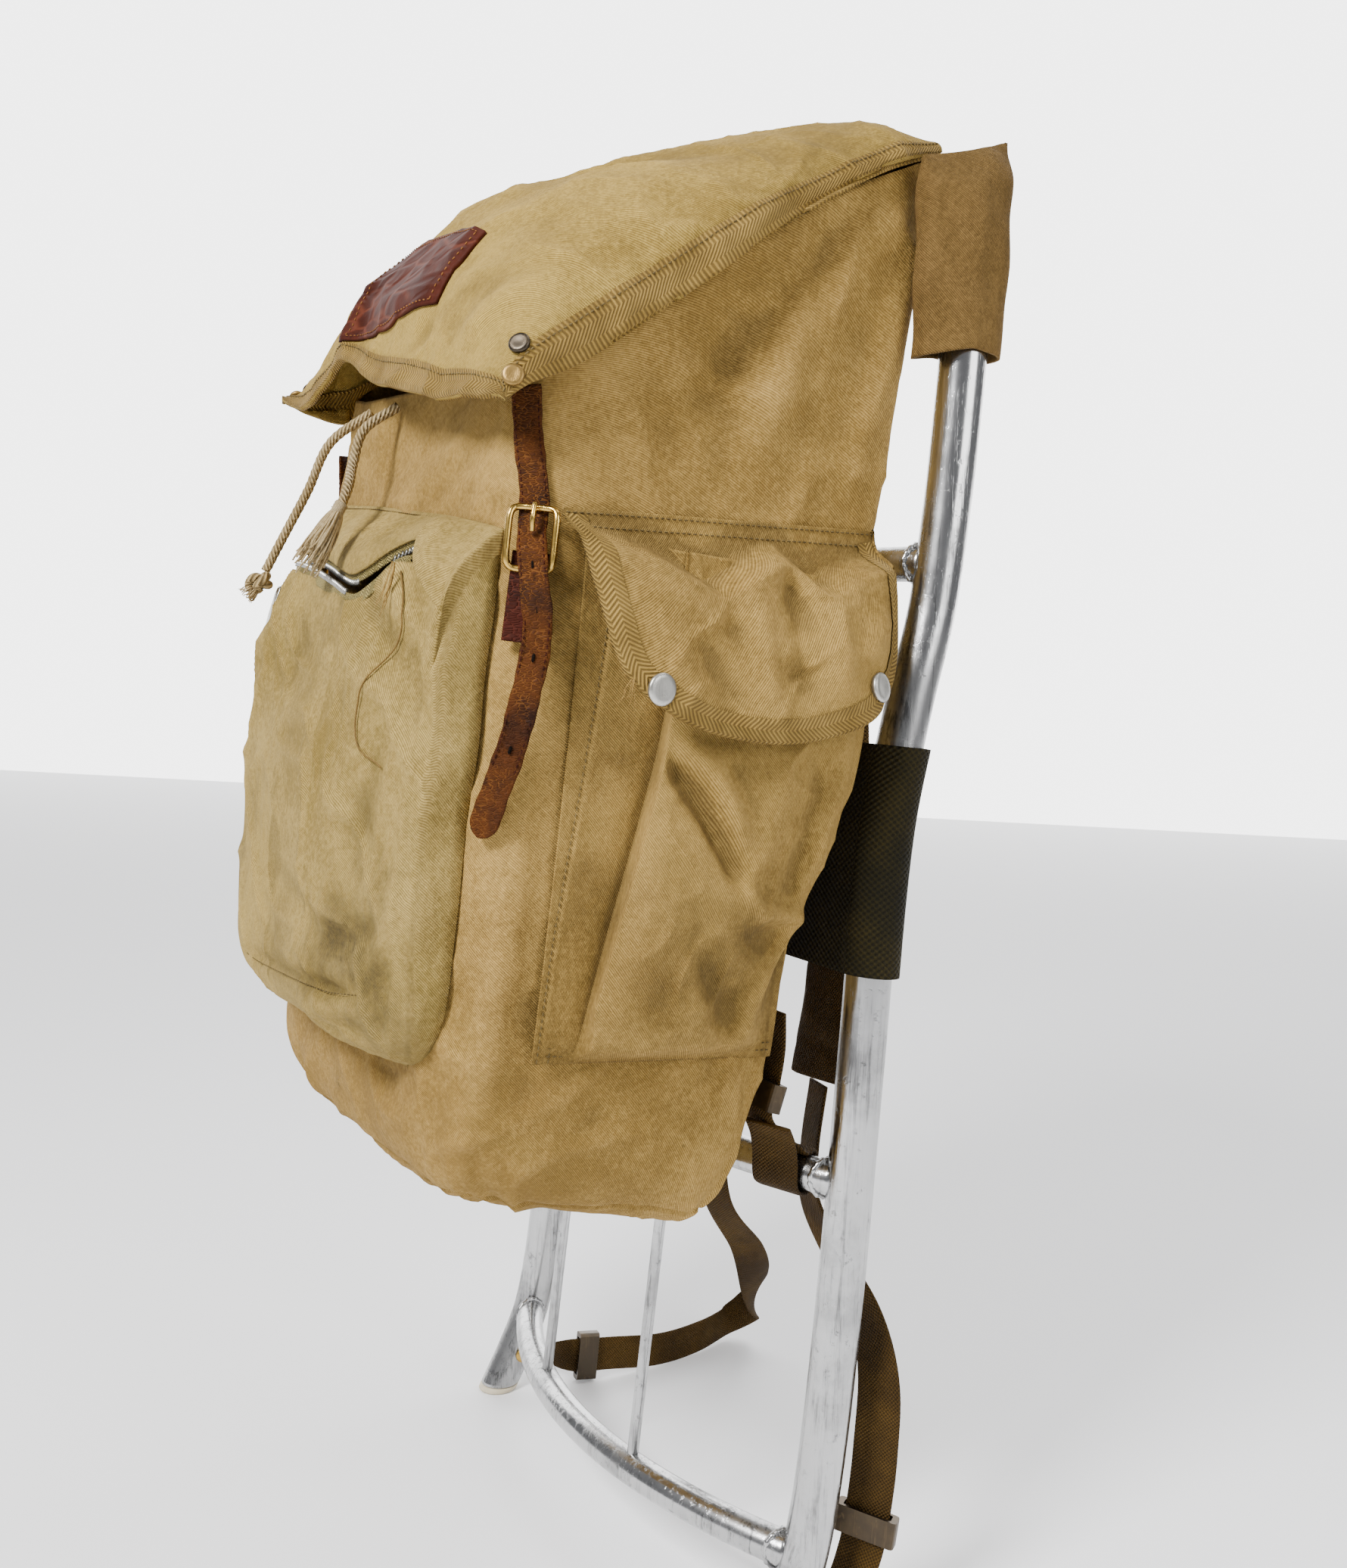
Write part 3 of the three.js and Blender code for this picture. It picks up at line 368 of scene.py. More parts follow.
# Materials
class Wire:
    """A socket of a node tree. Arithmetic on it adds Math nodes; make() adds any other node."""

    def __init__(self, tree, socket):
        self.tree, self.socket = tree, socket

    def make(self, kind, settings=None, sockets=None, output=0):
        """A node of a kind with its settings, then values or links for its sockets, named or numbered."""
        node = self.tree.nodes.new(kind)
        for key, value in (settings or {}).items():
            setattr(node, key, value)
        for key, value in (sockets or {}).items():
            if isinstance(value, Wire):
                self.tree.links.new(value.socket, node.inputs[key])
            else:
                node.inputs[key].default_value = value
        return Wire(self.tree, node.outputs[output])

    def math(self, operation, a, b=0.0):
        return self.make("ShaderNodeMath", {"operation": operation}, {0: a, 1: b})

    def __add__(self, other):
        return self.math("ADD", self, other)

    def __mul__(self, other):
        return self.math("MULTIPLY", self, other)

    def __sub__(self, other):
        return self.math("SUBTRACT", self, other)

    def __rsub__(self, other):
        return self.math("SUBTRACT", other, self)

    __radd__, __rmul__ = __add__, __mul__

    def sin(self):
        return self.math("SINE", self)

    def between(self, low, high):
        """0 below low, 1 above high, smooth in between."""
        return self.make("ShaderNodeMapRange", {"interpolation_type": "SMOOTHSTEP"},
                         {"Value": self, "From Min": low, "From Max": high})

    def blend(self, first, second):
        """The first colour where this is 0, the second where it is 1."""
        return self.make("ShaderNodeMix", {"data_type": "RGBA"}, {0: self, 6: first, 7: second}, 2)

    def woven(self, low, high, base, valley):
        """The base colour, multiplied by the valley's where this wave of threads is low."""
        dim = self.make("ShaderNodeMix", {"data_type": "RGBA", "blend_type": "MULTIPLY"},
                        {0: 1.0, 6: base, 7: rgb(valley)}, 2)
        return self.between(low, high).blend(dim, base)

    def noise(self, scale, detail=3.0, rough=0.55, stretch=(1, 1, 1)):
        """Cloudy values round 0.5 over this place, drawn together along each axis by stretch."""
        spot = self.make("ShaderNodeVectorMath", {"operation": "MULTIPLY"}, {0: self, 1: stretch})
        return self.make("ShaderNodeTexNoise", {}, {"Vector": spot, "Scale": scale, "Detail": detail,
                                                    "Roughness": rough})


def start(name, **constants):
    """A material with its constant sockets set; gives it, its shader, object place and cloth place."""
    material = bpy.data.materials.new(name)
    material.use_nodes = True
    tree = material.node_tree
    shader = tree.nodes["Principled BSDF"]
    for key, value in constants.items():
        shader.inputs[key.replace("_", " ")].default_value = value
    place = tree.nodes.new("ShaderNodeTexCoord")
    spot = Wire(tree, place.outputs["Object"])
    cloth = spot.make("ShaderNodeSeparateXYZ", {}, {0: Wire(tree, place.outputs["UV"])})
    across, along = cloth, Wire(tree, cloth.socket.node.outputs[1])
    return material, shader, spot, across, along


def link(shader, **sockets):
    """Wires into a shader's sockets."""
    for key, wire in sockets.items():
        wire.tree.links.new(wire.socket, shader.inputs[key.replace("_", " ")])


def bumped(height, distance, strength, under=None):
    """A Bump node over a height, on top of the bump under it."""
    sockets = {"Height": height, "Distance": distance, "Strength": strength}
    if under is not None:
        sockets["Normal"] = under
    return height.make("ShaderNodeBump", {}, sockets)


def rgb(colour, scale=(1, 1, 1)):
    """A colour for a socket, each part scaled."""
    return (*(c * s for c, s in zip(colour, scale)), 1.0)


def cloth_paint(name, light, dark, stain_and_shade, pitch=0.0013, stains=0.62, rough=0.92, smudges=()):
    """Canvas: slanting twill threads, faded and grimy patches, stains, painted shade in the hollows of its
    folds and a painted highlight on their ridges.
    """
    material, shader, spot, across, along = start(name, Roughness=rough, Specular_IOR_Level=0.15)
    twill = ((across + along) * (TAU / pitch)).sin()
    thread = (across * (TAU / (pitch * 0.62))).sin() * (along * (TAU / (pitch * 0.62))).sin()
    slub = spot.noise(700.0, 2.0, 0.6)
    broad, middle = spot.noise(5.0, 5.0, 0.55), spot.noise(24.0, 7.0, 0.68)
    fine = spot.noise(330.0, 3.0, 0.7)
    tone = broad.between(0.3, 0.7) * 0.5 + middle.between(0.3, 0.7) * 0.24 + fine.between(0.3, 0.7) * 0.3
    base = tone.between(0.2, 0.84).blend(rgb(dark), rgb(light))
    mark = spot.noise(9.0, 7.0, 0.72, (1, 1, 0.75)).between(0.5, 0.76) * stains
    for at, radius, amount in smudges:
        centre = world(at).tolist()
        gap = spot.make("ShaderNodeVectorMath", {"operation": "DISTANCE"}, {0: spot, 1: centre}, 1)
        mark = mark + (1.0 - (gap + middle * 0.07).between(0.03, radius + 0.03)) * (fine * 1.5 + 0.2) * amount
    spotting = spot.noise(75.0, 5.0, 0.75).between(0.64, 0.76) * 0.45
    base = (mark + spotting).between(0.0, 1.0).blend(base, rgb(stain_and_shade))
    # Painted shade: the stain colour laid into the cloth's hollows by the relief attribute; painted
    # highlight: a paler colour laid on its ridges.
    deep = spot.make("ShaderNodeAttribute", {"attribute_name": "relief"}, output=2)
    base = (deep.between(0.2, 2.6) * (middle * 0.5 + 0.12)).blend(base, rgb(stain_and_shade))
    ridge = (0.0 - deep).between(0.3, 3.0) * (fine * 0.3 + 0.08)
    base = ridge.blend(base, rgb(light, (1.3, 1.3, 1.4)))
    speck = slub * 0.6 + twill * 0.24 + thread * 0.12
    crease = bumped(spot.noise(30.0, 4.0, 0.62), 0.009, 0.7)
    link(shader, Base_Color=speck.woven(0.0, 0.62, base, (0.5, 0.48, 0.45)),
         Normal=bumped(twill * 0.6 + thread * 0.5 + slub * 1.4, 0.00025, 0.8, crease))
    return material


def twill_paint(name, light, dark, rib, rough=0.85, depth=0.0006):
    """Herringbone tape: slanting ribs that turn at the middle of each row."""
    material, shader, spot, across, along = start(name, Roughness=rough, Specular_IOR_Level=0.25)
    turn = across.math("PINGPONG", across, rib * 2.2)
    wave = ((along + turn * 0.9) * (TAU / rib)).sin()
    grime = spot.noise(40.0, 5.0, 0.65)
    base = grime.between(0.3, 0.72).blend(rgb(dark), rgb(light))
    link(shader, Base_Color=wave.woven(-0.9, 0.3, base, (0.45, 0.43, 0.4)),
         Normal=bumped(wave + spot.noise(700.0, 2.0) * 0.8, depth, 0.9))
    return material


def web_paint(name, light, dark, pitch_across, pitch_along, rough=0.8, depth=0.0006):
    """Woven webbing: rows of raised threads set off by half a step from row to row."""
    material, shader, spot, across, along = start(name, Roughness=rough, Specular_IOR_Level=0.15)
    wave = (across * (TAU / pitch_across)).sin() * (along * (TAU / pitch_along)).sin()
    grime = spot.noise(18.0, 5.0, 0.65)
    base = grime.between(0.3, 0.7).blend(rgb(dark), rgb(light))
    link(shader, Base_Color=wave.woven(-0.8, 0.6, base, (0.4, 0.4, 0.38)),
         Normal=bumped(wave + spot.noise(900.0, 2.0) * 0.5, depth, 0.9))
    return material


def leather_paint(name, light, dark, crack, rough=0.5):
    """Old leather: worn light patches, cracks across the strap and dark dirt."""
    material, shader, spot, *_ = start(name, Specular_IOR_Level=0.1)
    patch = spot.noise(45.0, 5.0, 0.7)
    base = patch.between(0.3, 0.7).blend(rgb(dark), rgb(light))
    cell = spot.make("ShaderNodeTexVoronoi", {"feature": "DISTANCE_TO_EDGE"},
                     {"Vector": spot.make("ShaderNodeVectorMath", {"operation": "MULTIPLY"},
                                          {0: spot, 1: (0.55, 0.55, 1.5)}), "Scale": crack})
    lines = 1.0 - cell.between(0.0, 0.12)
    wear = lines * spot.noise(30.0, 4.0).between(0.35, 0.6)
    base = (wear * 0.75).blend(base, rgb(light, (1.9, 2.4, 2.4)))
    soot = spot.noise(70.0, 5.0, 0.7).between(0.58, 0.72)
    base = (soot * 0.7).blend(base, rgb(dark, (0.35, 0.35, 0.4)))
    link(shader, Base_Color=base, Roughness=patch * 0.3 + (rough - 0.12),
         Normal=bumped(cell.between(0.0, 0.2) + spot.noise(400.0, 3.0) * 0.3, 0.0005, 0.8))
    return material


def metal_paint(name, clean, dull, rough=0.3, scuff=1.0, metal=1.0, streak=0.0):
    """Used metal: duller patches, fine scratches along and around, and dents."""
    material, shader, spot, *_ = start(name, Metallic=metal)
    haze = spot.noise(16.0, 5.0, 0.65)
    nick = spot.noise(120.0, 5.0, 0.75).between(0.58, 0.72)
    scratch = spot.noise(60.0, 4.0, 0.8, (6, 6, 0.35)).between(0.52, 0.7)
    wear = haze.between(0.35, 0.7) * 0.6 + nick * 0.55 * scuff + scratch * 0.3 * scuff
    base = wear.between(0.0, 1.1).blend(rgb(clean), rgb(dull))
    line = spot.noise(34.0, 5.0, 0.75, (7, 7, 0.22)).between(0.5, 0.66) * haze.between(0.3, 0.6)
    base = (line * streak).blend(base, rgb(dull, (0.35, 0.35, 0.35)))
    grain = bumped(haze * 0.4 + nick * -0.25 + scratch * 0.15, 0.0006 * scuff, 0.5)
    link(shader, Base_Color=base, Roughness=wear * 0.28 + rough, Normal=grain)
    return material


# Smudges: place on the pack, radius in metres and amount
BAG_SMUDGES = [
    ((170, -120, 405), 0.088, 0.25), ((165, -95, 365), 0.075, 0.25), ((168, -140, 452), 0.075, 0.19),
    ((120, -180, 255), 0.112, 0.19), ((-20, -225, 288), 0.125, 0.15), ((150, -60, 265), 0.100, 0.19),
    ((60, -228, 640), 0.088, 0.15), ((150, -60, 705), 0.062, 0.15), ((152, -195, 560), 0.075, 0.25),
    ((160, -165, 490), 0.062, 0.28), ((155, -170, 420), 0.050, 0.15), ((152, -16, 770), 0.062, 0.19),
    ((170, -150, 380), 0.075, 0.22), ((168, -90, 470), 0.062, 0.19)]
LID_SMUDGES = [
    ((150, -120, 745), 0.05, 0.3), ((120, -40, 815), 0.06, 0.3), ((0, -60, 838), 0.07, 0.25),
    ((60, -160, 800), 0.05, 0.2), ((120, -225, 690), 0.06, 0.3), ((150, -80, 790), 0.05, 0.3),
    ((60, -245, 680), 0.06, 0.2)]
POCKET_SMUDGES = [
    ((96, -262, 378), 0.06, 0.5), ((60, -268, 362), 0.06, 0.4), ((95, -262, 440), 0.04, 0.35),
    ((-60, -270, 430), 0.06, 0.2), ((112, -268, 345), 0.05, 0.3), ((-110, -266, 420), 0.06, 0.25),
    ((0, -268, 345), 0.08, 0.45), ((120, -250, 330), 0.05, 0.4), ((60, -260, 585), 0.05, 0.3)]
CANVAS = cloth_paint("faded_canvas", (0.54, 0.345, 0.100), (0.31, 0.188, 0.047), (0.10, 0.065, 0.022),
                     smudges=BAG_SMUDGES)
GRIMY_CANVAS = cloth_paint("grimy_canvas", (0.46, 0.295, 0.083), (0.25, 0.152, 0.037), (0.085, 0.056, 0.02),
                           stains=0.8, smudges=BAG_SMUDGES)
LIGHT_CANVAS = cloth_paint("sunned_canvas", (0.51, 0.35, 0.088), (0.30, 0.195, 0.042), (0.14, 0.09, 0.024),
                           stains=0.6, smudges=LID_SMUDGES)
POCKET_CANVAS = cloth_paint("pocket_canvas", (0.51, 0.365, 0.115), (0.29, 0.20, 0.052), (0.09, 0.066, 0.026),
                            stains=0.78, smudges=POCKET_SMUDGES)
SLEEVE_CANVAS = cloth_paint("sleeve_canvas", (0.215, 0.128, 0.038), (0.12, 0.07, 0.018), (0.07, 0.04, 0.012))
TAPE = twill_paint("binding_tape", (0.38, 0.24, 0.058), (0.24, 0.145, 0.028), 0.0026)
BAND = web_paint("back_band_webbing", (0.03, 0.022, 0.004), (0.011, 0.009, 0.002), 0.0042, 0.0034,
                 depth=0.001)
WEBBING = web_paint("strap_webbing", (0.105, 0.056, 0.010), (0.045, 0.023, 0.004), 0.0022, 0.0022)
STRAP_LEATHER = leather_paint("strap_leather", (0.080, 0.023, 0.004), (0.014, 0.004, 0.0015), 560.0, 0.62)
TAB_LEATHER = leather_paint("tab_leather", (0.045, 0.008, 0.004), (0.016, 0.004, 0.002), 420.0, 0.6)
SLIT = leather_paint("slit_shadow", (0.006, 0.003, 0.002), (0.003, 0.002, 0.001), 420.0, 0.8)
PATCH_LEATHER = leather_paint("patch_leather", (0.056, 0.011, 0.005), (0.030, 0.006, 0.003), 60.0, 0.62)
BRASS = metal_paint("old_brass", (0.62, 0.40, 0.10), (0.22, 0.13, 0.03), 0.22)
DULL_BRASS = metal_paint("dull_brass", (0.30, 0.19, 0.06), (0.10, 0.06, 0.025), 0.42)
ALUMINIUM = metal_paint("scuffed_aluminium", (0.50, 0.50, 0.50), (0.17, 0.17, 0.17), 0.17, streak=0.75)
ZIP_METAL = metal_paint("zip_metal", (0.42, 0.41, 0.38), (0.16, 0.15, 0.13), 0.3)
NICKEL = metal_paint("nickel_snap", (0.55, 0.54, 0.50), (0.30, 0.29, 0.26), 0.28, 0.8)
BLACKENED = metal_paint("blackened_metal", (0.06, 0.048, 0.035), (0.17, 0.12, 0.07), 0.35)
CORD_COTTON = twill_paint("braided_cotton", (0.56, 0.43, 0.23), (0.38, 0.27, 0.12), 0.0032, 0.9)
STRAND = cloth_paint("cotton_strands", (0.62, 0.50, 0.30), (0.46, 0.34, 0.17), (0.30, 0.22, 0.11), 0.0008)
THREAD = cloth_paint("sewing_thread", (0.21, 0.15, 0.06), (0.12, 0.085, 0.032), (0.09, 0.06, 0.025), 0.0006)
PATCH_THREAD = cloth_paint("patch_thread", (0.30, 0.12, 0.035), (0.2, 0.08, 0.022), (0.15, 0.06, 0.02),
                           0.0006)
PALE_THREAD = cloth_paint("pale_thread", (0.40, 0.25, 0.075), (0.28, 0.17, 0.05), (0.3, 0.2, 0.1), 0.0006)
ZIP_TAPE = twill_paint("zip_tape", (0.42, 0.34, 0.12), (0.28, 0.21, 0.06), 0.0016)
PLUG = metal_paint("plug_plastic", (0.66, 0.58, 0.42), (0.45, 0.38, 0.26), 0.45, 0.5, 0.0)

# Drawcords: the route's points in metres, in the part's frame, from the mouth to the free end
CORD_RADIUS = 2.75
CORD_ROUTES = {
    "right": [(-0.018, -0.1569, 0.6697), (-0.022, -0.1745, 0.6549), (-0.020, -0.1808, 0.6352),
              (-0.008, -0.1867, 0.6215), (0.002, -0.1947, 0.6070)],
    "left": [(-0.064, -0.1563, 0.6726), (-0.082, -0.1745, 0.6549), (-0.098, -0.1823, 0.6273),
             (-0.104, -0.1930, 0.6019), (-0.106, -0.2036, 0.5785)],
}


def from_metres(points):
    """Metres in the part's frame back to pack millimetres."""
    p = np.asarray(points, float) * 1000
    return upright(p - np.array([0, SHIFT, 0]))


def cord_grid(path, radius, strands=3, pitch=13.0, sides=24):
    """A laid cord: a circle carried along the path, whose radius swells over each of its twisted strands."""
    length = lengths(path)
    a = np.arange(sides) / sides * TAU
    lobe = np.abs(np.cos(strands / 2 * (a[None] - length[:, None] / pitch * TAU)))
    r = radius * (0.86 + 0.16 * lobe)
    profile = np.stack([np.cos(a)[None] * r, np.sin(a)[None] * r], -1)
    return swept(path, (1, 0.2, 0.1), profile)


def tuft(name, root, tip, neck, spread, count, radius, seed, nodes=(), paint=STRAND):
    """Frayed strands: thin tubes from a tied neck to a loose end, each with its own wander."""
    rng = np.random.default_rng(seed)
    root, tip = np.asarray(root, float), np.asarray(tip, float)
    axis = unit(tip - root)
    side = unit(np.cross(axis, (0, 0, 1.0)) + 1e-6)
    other = np.cross(axis, side)
    angle, reach = rng.uniform(0, TAU, count), rng.uniform(0.15, 1, count) ** 0.5
    t = np.linspace(0, 1, 14)[None, :, None]
    flat = lambda r: (np.cos(angle) * r)[:, None, None] * side + (np.sin(angle) * r)[:, None, None] * other
    length = np.linalg.norm(tip - root) * rng.uniform(0.75, 1.05, count)[:, None, None]
    wander = np.sin(t * rng.uniform(4, 9, (count, 1, 1)) + rng.uniform(0, TAU, (count, 1, 1))) * t
    path = root + axis * length * t + flat(neck * reach) * (1 - t) + flat(spread * reach) * t ** 0.7
    path = path + wander * 1.1 * side + np.cos(wander * 2) * t * 0.7 * other
    a = np.arange(5) / 5 * TAU
    ring = (np.cos(a)[:, None] * side + np.sin(a)[:, None] * other) * radius
    grid = path[:, :, None] + ring * (1 - 0.4 * t[..., None])
    n, rows, cols = grid.shape[:3]
    i, j = np.meshgrid(np.arange(rows - 1), np.arange(cols), indexing="ij")
    quads = np.stack([i * cols + j, i * cols + (j + 1) % cols, (i + 1) * cols + (j + 1) % cols,
                      (i + 1) * cols + j], -1).reshape(-1, 4)
    caps = np.stack([np.arange(cols)[::-1], np.arange(cols) + (rows - 1) * cols])
    shift = (np.arange(n) * rows * cols)[:, None, None]
    faces = [(quads[None] + shift).reshape(-1, 4), (caps[None] + shift).reshape(-1, cols)]
    points = grid.reshape(-1, 3)
    if not facing(points[:rows * cols], [faces[0][:len(quads)]], None):
        faces = [f[:, ::-1] for f in faces]
    along = np.stack([j / cols * 0.004, i * 0.002], -1).reshape(-1, 2).repeat(4, 0)
    uv = [np.tile(along, (n, 1)), np.zeros((faces[1].size, 2))]
    return finish_piece(make_mesh(name, points, faces, uv), paint, nodes)


def add_tassel(path):
    """The right cord's end: a tied neck, and the strands that fan out below it."""
    end = tuft("cord_tassel_strands", path[-1] + (0.3, -0.6, -1), (7, -279, 557), 2.6, 8.5, 64, 0.75, 3,
               ["cord_tassel"])
    neck = route(path[-1] + np.array([[0, 1.0, 3.5], [0.4, -0.6, 0], [0.8, -2.2, -4.5]]), 12)
    return [end, piece("tassel_whipping", cord_grid(neck, 3.6, 5, 8.0), STRAND)]


def add_knot():
    """The left cord's end: a trefoil, 2 + cos 3s round its axis and sin 3s along it, with a frayed tip."""
    s = np.linspace(0, TAU, 97)[:-1]
    reach = 2 + np.cos(3 * s)
    knot = np.stack([reach * np.cos(2 * s), reach * np.sin(2 * s), 1.35 * np.sin(3 * s)], -1) * 1.95
    turn = np.array([[0.8, 0.3, 0.5], [-0.3, 0.9, 0.2], [-0.4, -0.3, 0.85]])
    knot = knot @ unit(turn) + np.array([-106.6, -271.7, 554.8])
    ball = piece("knot_turns", closed_tube(knot, (0.2, 0.3, 1), 2.7, 16), CORD_COTTON, ["cord_knot"],
                 loop=True)
    return [ball, tuft("knot_fray", (-107, -274, 551), (-108.5, -280, 545.5), 2.4, 5.5, 26, 0.5, 8)]


def add_cords():
    """Both drawcords along their routes, each with what is tied at its end."""
    for word, points in CORD_ROUTES.items():
        path = route(from_metres(points), 110)
        cord = piece(f"cord_{word}", cord_grid(path, CORD_RADIUS), CORD_COTTON, [f"drawcord_{word}"])
        ends, far = (add_tassel(path), "fitting") if word == "right" else (add_knot(), "knot")


add_cords()


def add_stitches(name, rows, out, paint, length=2.4, radius=0.36, pitch=3.3):
    """Rows of stitches: a stretched octahedron every pitch along each row, lying on the cloth."""
    places = []
    for row in rows:
        row = np.asarray(row, float)
        spots, along = stations(row, np.arange(pitch / 2, lengths(row)[-1], pitch))
        normal = np.broadcast_to(np.asarray(out, float), along.shape)
        normal = unit(normal - (normal * along).sum(-1, keepdims=True) * along)
        places.append(np.stack([spots, along * length / 2, np.cross(normal, along) * radius,
                                normal * radius * 1.3], 1))
    shape = [(-1, 0, 0), (1, 0, 0), (-.6, 1, 0), (.6, 1, 0), (.6, -1, 0), (-.6, -1, 0),
             (-.6, 0, 1), (.6, 0, 1), (-.6, 0, -1), (.6, 0, -1)]
    tris = [(1, 3, 7), (1, 7, 4), (1, 4, 9), (1, 9, 3), (0, 6, 2), (0, 5, 6), (0, 8, 5), (0, 2, 8)]
    quads = [(2, 6, 7, 3), (6, 5, 4, 7), (5, 8, 9, 4), (8, 2, 3, 9)]
    return many(name, shape, [quads, tris], np.concatenate(places), paint)


# Bag: sections from the bottom up
BAG_COLUMNS = "front_z back_z half front back dent slant crown gather".split()
BAG_ROWS = np.array([
    (245, 226, 98, -180, -86, 0, 0, 0, .05), (251, 233, 127, -209, -69, 2, 0, 0, .022),
    (273, 264, 146, -226, -56, 7, 0, 0, .01), (322, 332, 152, -231, -43, 6, 0, 0, 0),
    (415, 430, 155, -233, -36, 4, -.02, 0, 0), (505, 535, 155, -232, -23, 8, -.05, 0, 0),
    (578, 640, 153, -230, -9, 13, -.07, 0, 0), (628, 735, 151, -228, -2, 8, -.07, 5, 0),
    (664, 815, 150, -224, 0, 0, -.07, 18, .012)], float)
BAG_TOP = len(BAG_ROWS) - 1.0
LEVELS = np.linspace(0, BAG_TOP, 801)
FRONT_POWER, BACK_POWER = 7, 22


def bag_row(t):
    """The table's columns at level t, by name."""
    return dict(zip(BAG_COLUMNS, read_rows(BAG_ROWS, t)))


def bag_point(t, angle):
    """Superellipse section of the bag at level t, flat-backed, hollowed over the crossbars and slanted."""
    row = bag_row(t)
    pleat = 1 + row["gather"] * np.cos(8 * angle)
    half, middle = row["half"] * pleat, (row["front"] + row["back"]) / 2
    depth = (row["back"] - row["front"]) / 2 * pleat
    n = 2 / np.where(np.sin(angle) < 0, FRONT_POWER, BACK_POWER)
    x, flat = half * spow(np.cos(angle), n), middle + depth * spow(np.sin(angle), n)
    y = flat - row["dent"] * np.maximum(0, (flat - middle) / depth) ** 2 * (1 - (x / half) ** 2)
    share = (flat - row["front"]) / (row["back"] - row["front"])
    z = row["front_z"] + (row["back_z"] - row["front_z"]) * share + row["slant"] * x * (1 - share)
    z = z + 12 * np.sin(np.pi * share.clip(0, 1)) * ramp(t, 6.4, BAG_TOP)
    return np.stack([x, y, z + row["crown"] * np.maximum(0, share) ** 2 * (1 - (x / half) ** 4)], -1)


BAG_LEVEL_ROWS = bag_row(LEVELS)


def oval(share, n):
    """Superellipse of power n: its height at a share of its half width."""
    return np.maximum(0, 1 - np.abs(share) ** n) ** (1 / n)


def bag_front(x, z):
    """The bag's front face over x, z: the section's front half, at the level whose front is that high."""
    row = bag_row(np.interp(z + 0.055 * x * ramp(z, 400, 560), BAG_LEVEL_ROWS["front_z"], LEVELS))
    depth = (row["back"] - row["front"]) / 2
    return (row["front"] + row["back"]) / 2 - depth * oval(x / row["half"], FRONT_POWER)


def bag_back(x, z):
    """The bag's back face over x, z, with its hollow over the crossbars."""
    row = bag_row(np.interp(z, BAG_LEVEL_ROWS["back_z"], LEVELS))
    depth = (row["back"] - row["front"]) / 2
    flat = (row["front"] + row["back"]) / 2 + depth * oval(x / row["half"], BACK_POWER)
    return flat - row["dent"] * (1 - (x / row["half"]) ** 2)


def bag_side(y, z):
    """The bag's side face over y, z, held at the back corner's width beyond the back.
    The level is found by halving, as a level's height changes from front to back."""
    y, z = np.broadcast_arrays(np.asarray(y, float), np.asarray(z, float))
    low, high = np.zeros(y.shape), np.full(y.shape, BAG_TOP)
    for _ in range(26):
        t = (low + high) / 2
        row = bag_row(t)
        share = (y - row["front"]) / (row["back"] - row["front"])
        at = row["front_z"] + (row["back_z"] - row["front_z"]) * share
        low, high = np.where(at < z, t, low), np.where(at < z, high, t)
    row = bag_row(low)
    share = np.minimum((2 * y - row["front"] - row["back"]) / (row["back"] - row["front"]), 0.96)
    return row["half"] * np.where(share < 0, oval(share, FRONT_POWER), oval(share, BACK_POWER))


def bag_at(angle, z):
    """The bag's point at a bag angle, over heights z."""
    line = bag_point(LEVELS, np.full(LEVELS.shape, angle))
    return between_rows(z, line[:, 2], line)


# Soft folds of the bag: ends, width and height
BAG_FOLDS = [
    ((150, -20, 800), (152, -110, 640), 16, 4.4), ((150, -50, 770), (152, -150, 640), 12, -3.7),
    ((152, -80, 745), (153, -95, 640), 10, 3.4), ((152, -120, 720), (153, -120, 620), 12, -3.1),
    ((152, -10, 760), (153, -40, 630), 10, 3.7), ((60, -230, 640), (-60, -230, 615), 16, -3.4),
    ((100, -230, 640), (20, -230, 600), 10, 3.1), ((-40, -228, 655), (-110, -228, 620), 12, 3.4),
    ((152, -200, 470), (146, -190, 300), 14, -4.1), ((153, -206, 420), (140, -212, 290), 9, 3.7),
    ((150, -110, 320), (110, -180, 262), 9, 5.1), ((150, -70, 320), (120, -110, 255), 8, 4.4),
    ((148, -150, 300), (100, -205, 262), 7, -4.1), ((120, -228, 330), (60, -215, 270), 10, 4.2),
    ((40, -230, 330), (-20, -215, 268), 12, 4.2), ((-60, -230, 330), (-90, -212, 268), 12, -4.2),
    ((152, -55, 330), (140, -60, 262), 8, -4.4), ((0, -230, 315), (90, -230, 300), 10, -3.1)]


def bag_angles(count=320):
    """Angles of points evenly spaced round the bag's section, less those that crowd at the back's middle."""
    share, rise = np.linspace(1, -1, 1201), np.linspace(0, 1, 601)
    back, front = np.arcsin(rise ** (BACK_POWER / 2)), np.arcsin(rise ** (FRONT_POWER / 2))
    dense = np.unique(np.concatenate([
        np.linspace(0, TAU, 4001), np.arccos(spow(share, BACK_POWER / 2)),
        TAU - np.arccos(spow(share, FRONT_POWER / 2)), back, np.pi - back, np.pi + front, TAU - front]))
    length = lengths(bag_point(np.full(dense.shape, BAG_TOP / 2), dense)[:, :2])
    angle = np.interp(np.linspace(0, length[-1], count + 1)[:-1], length, dense)
    return angle[(np.sin(angle) < 0.5) | (np.abs(np.cos(angle)) > 0.06 ** (BACK_POWER / 2))]


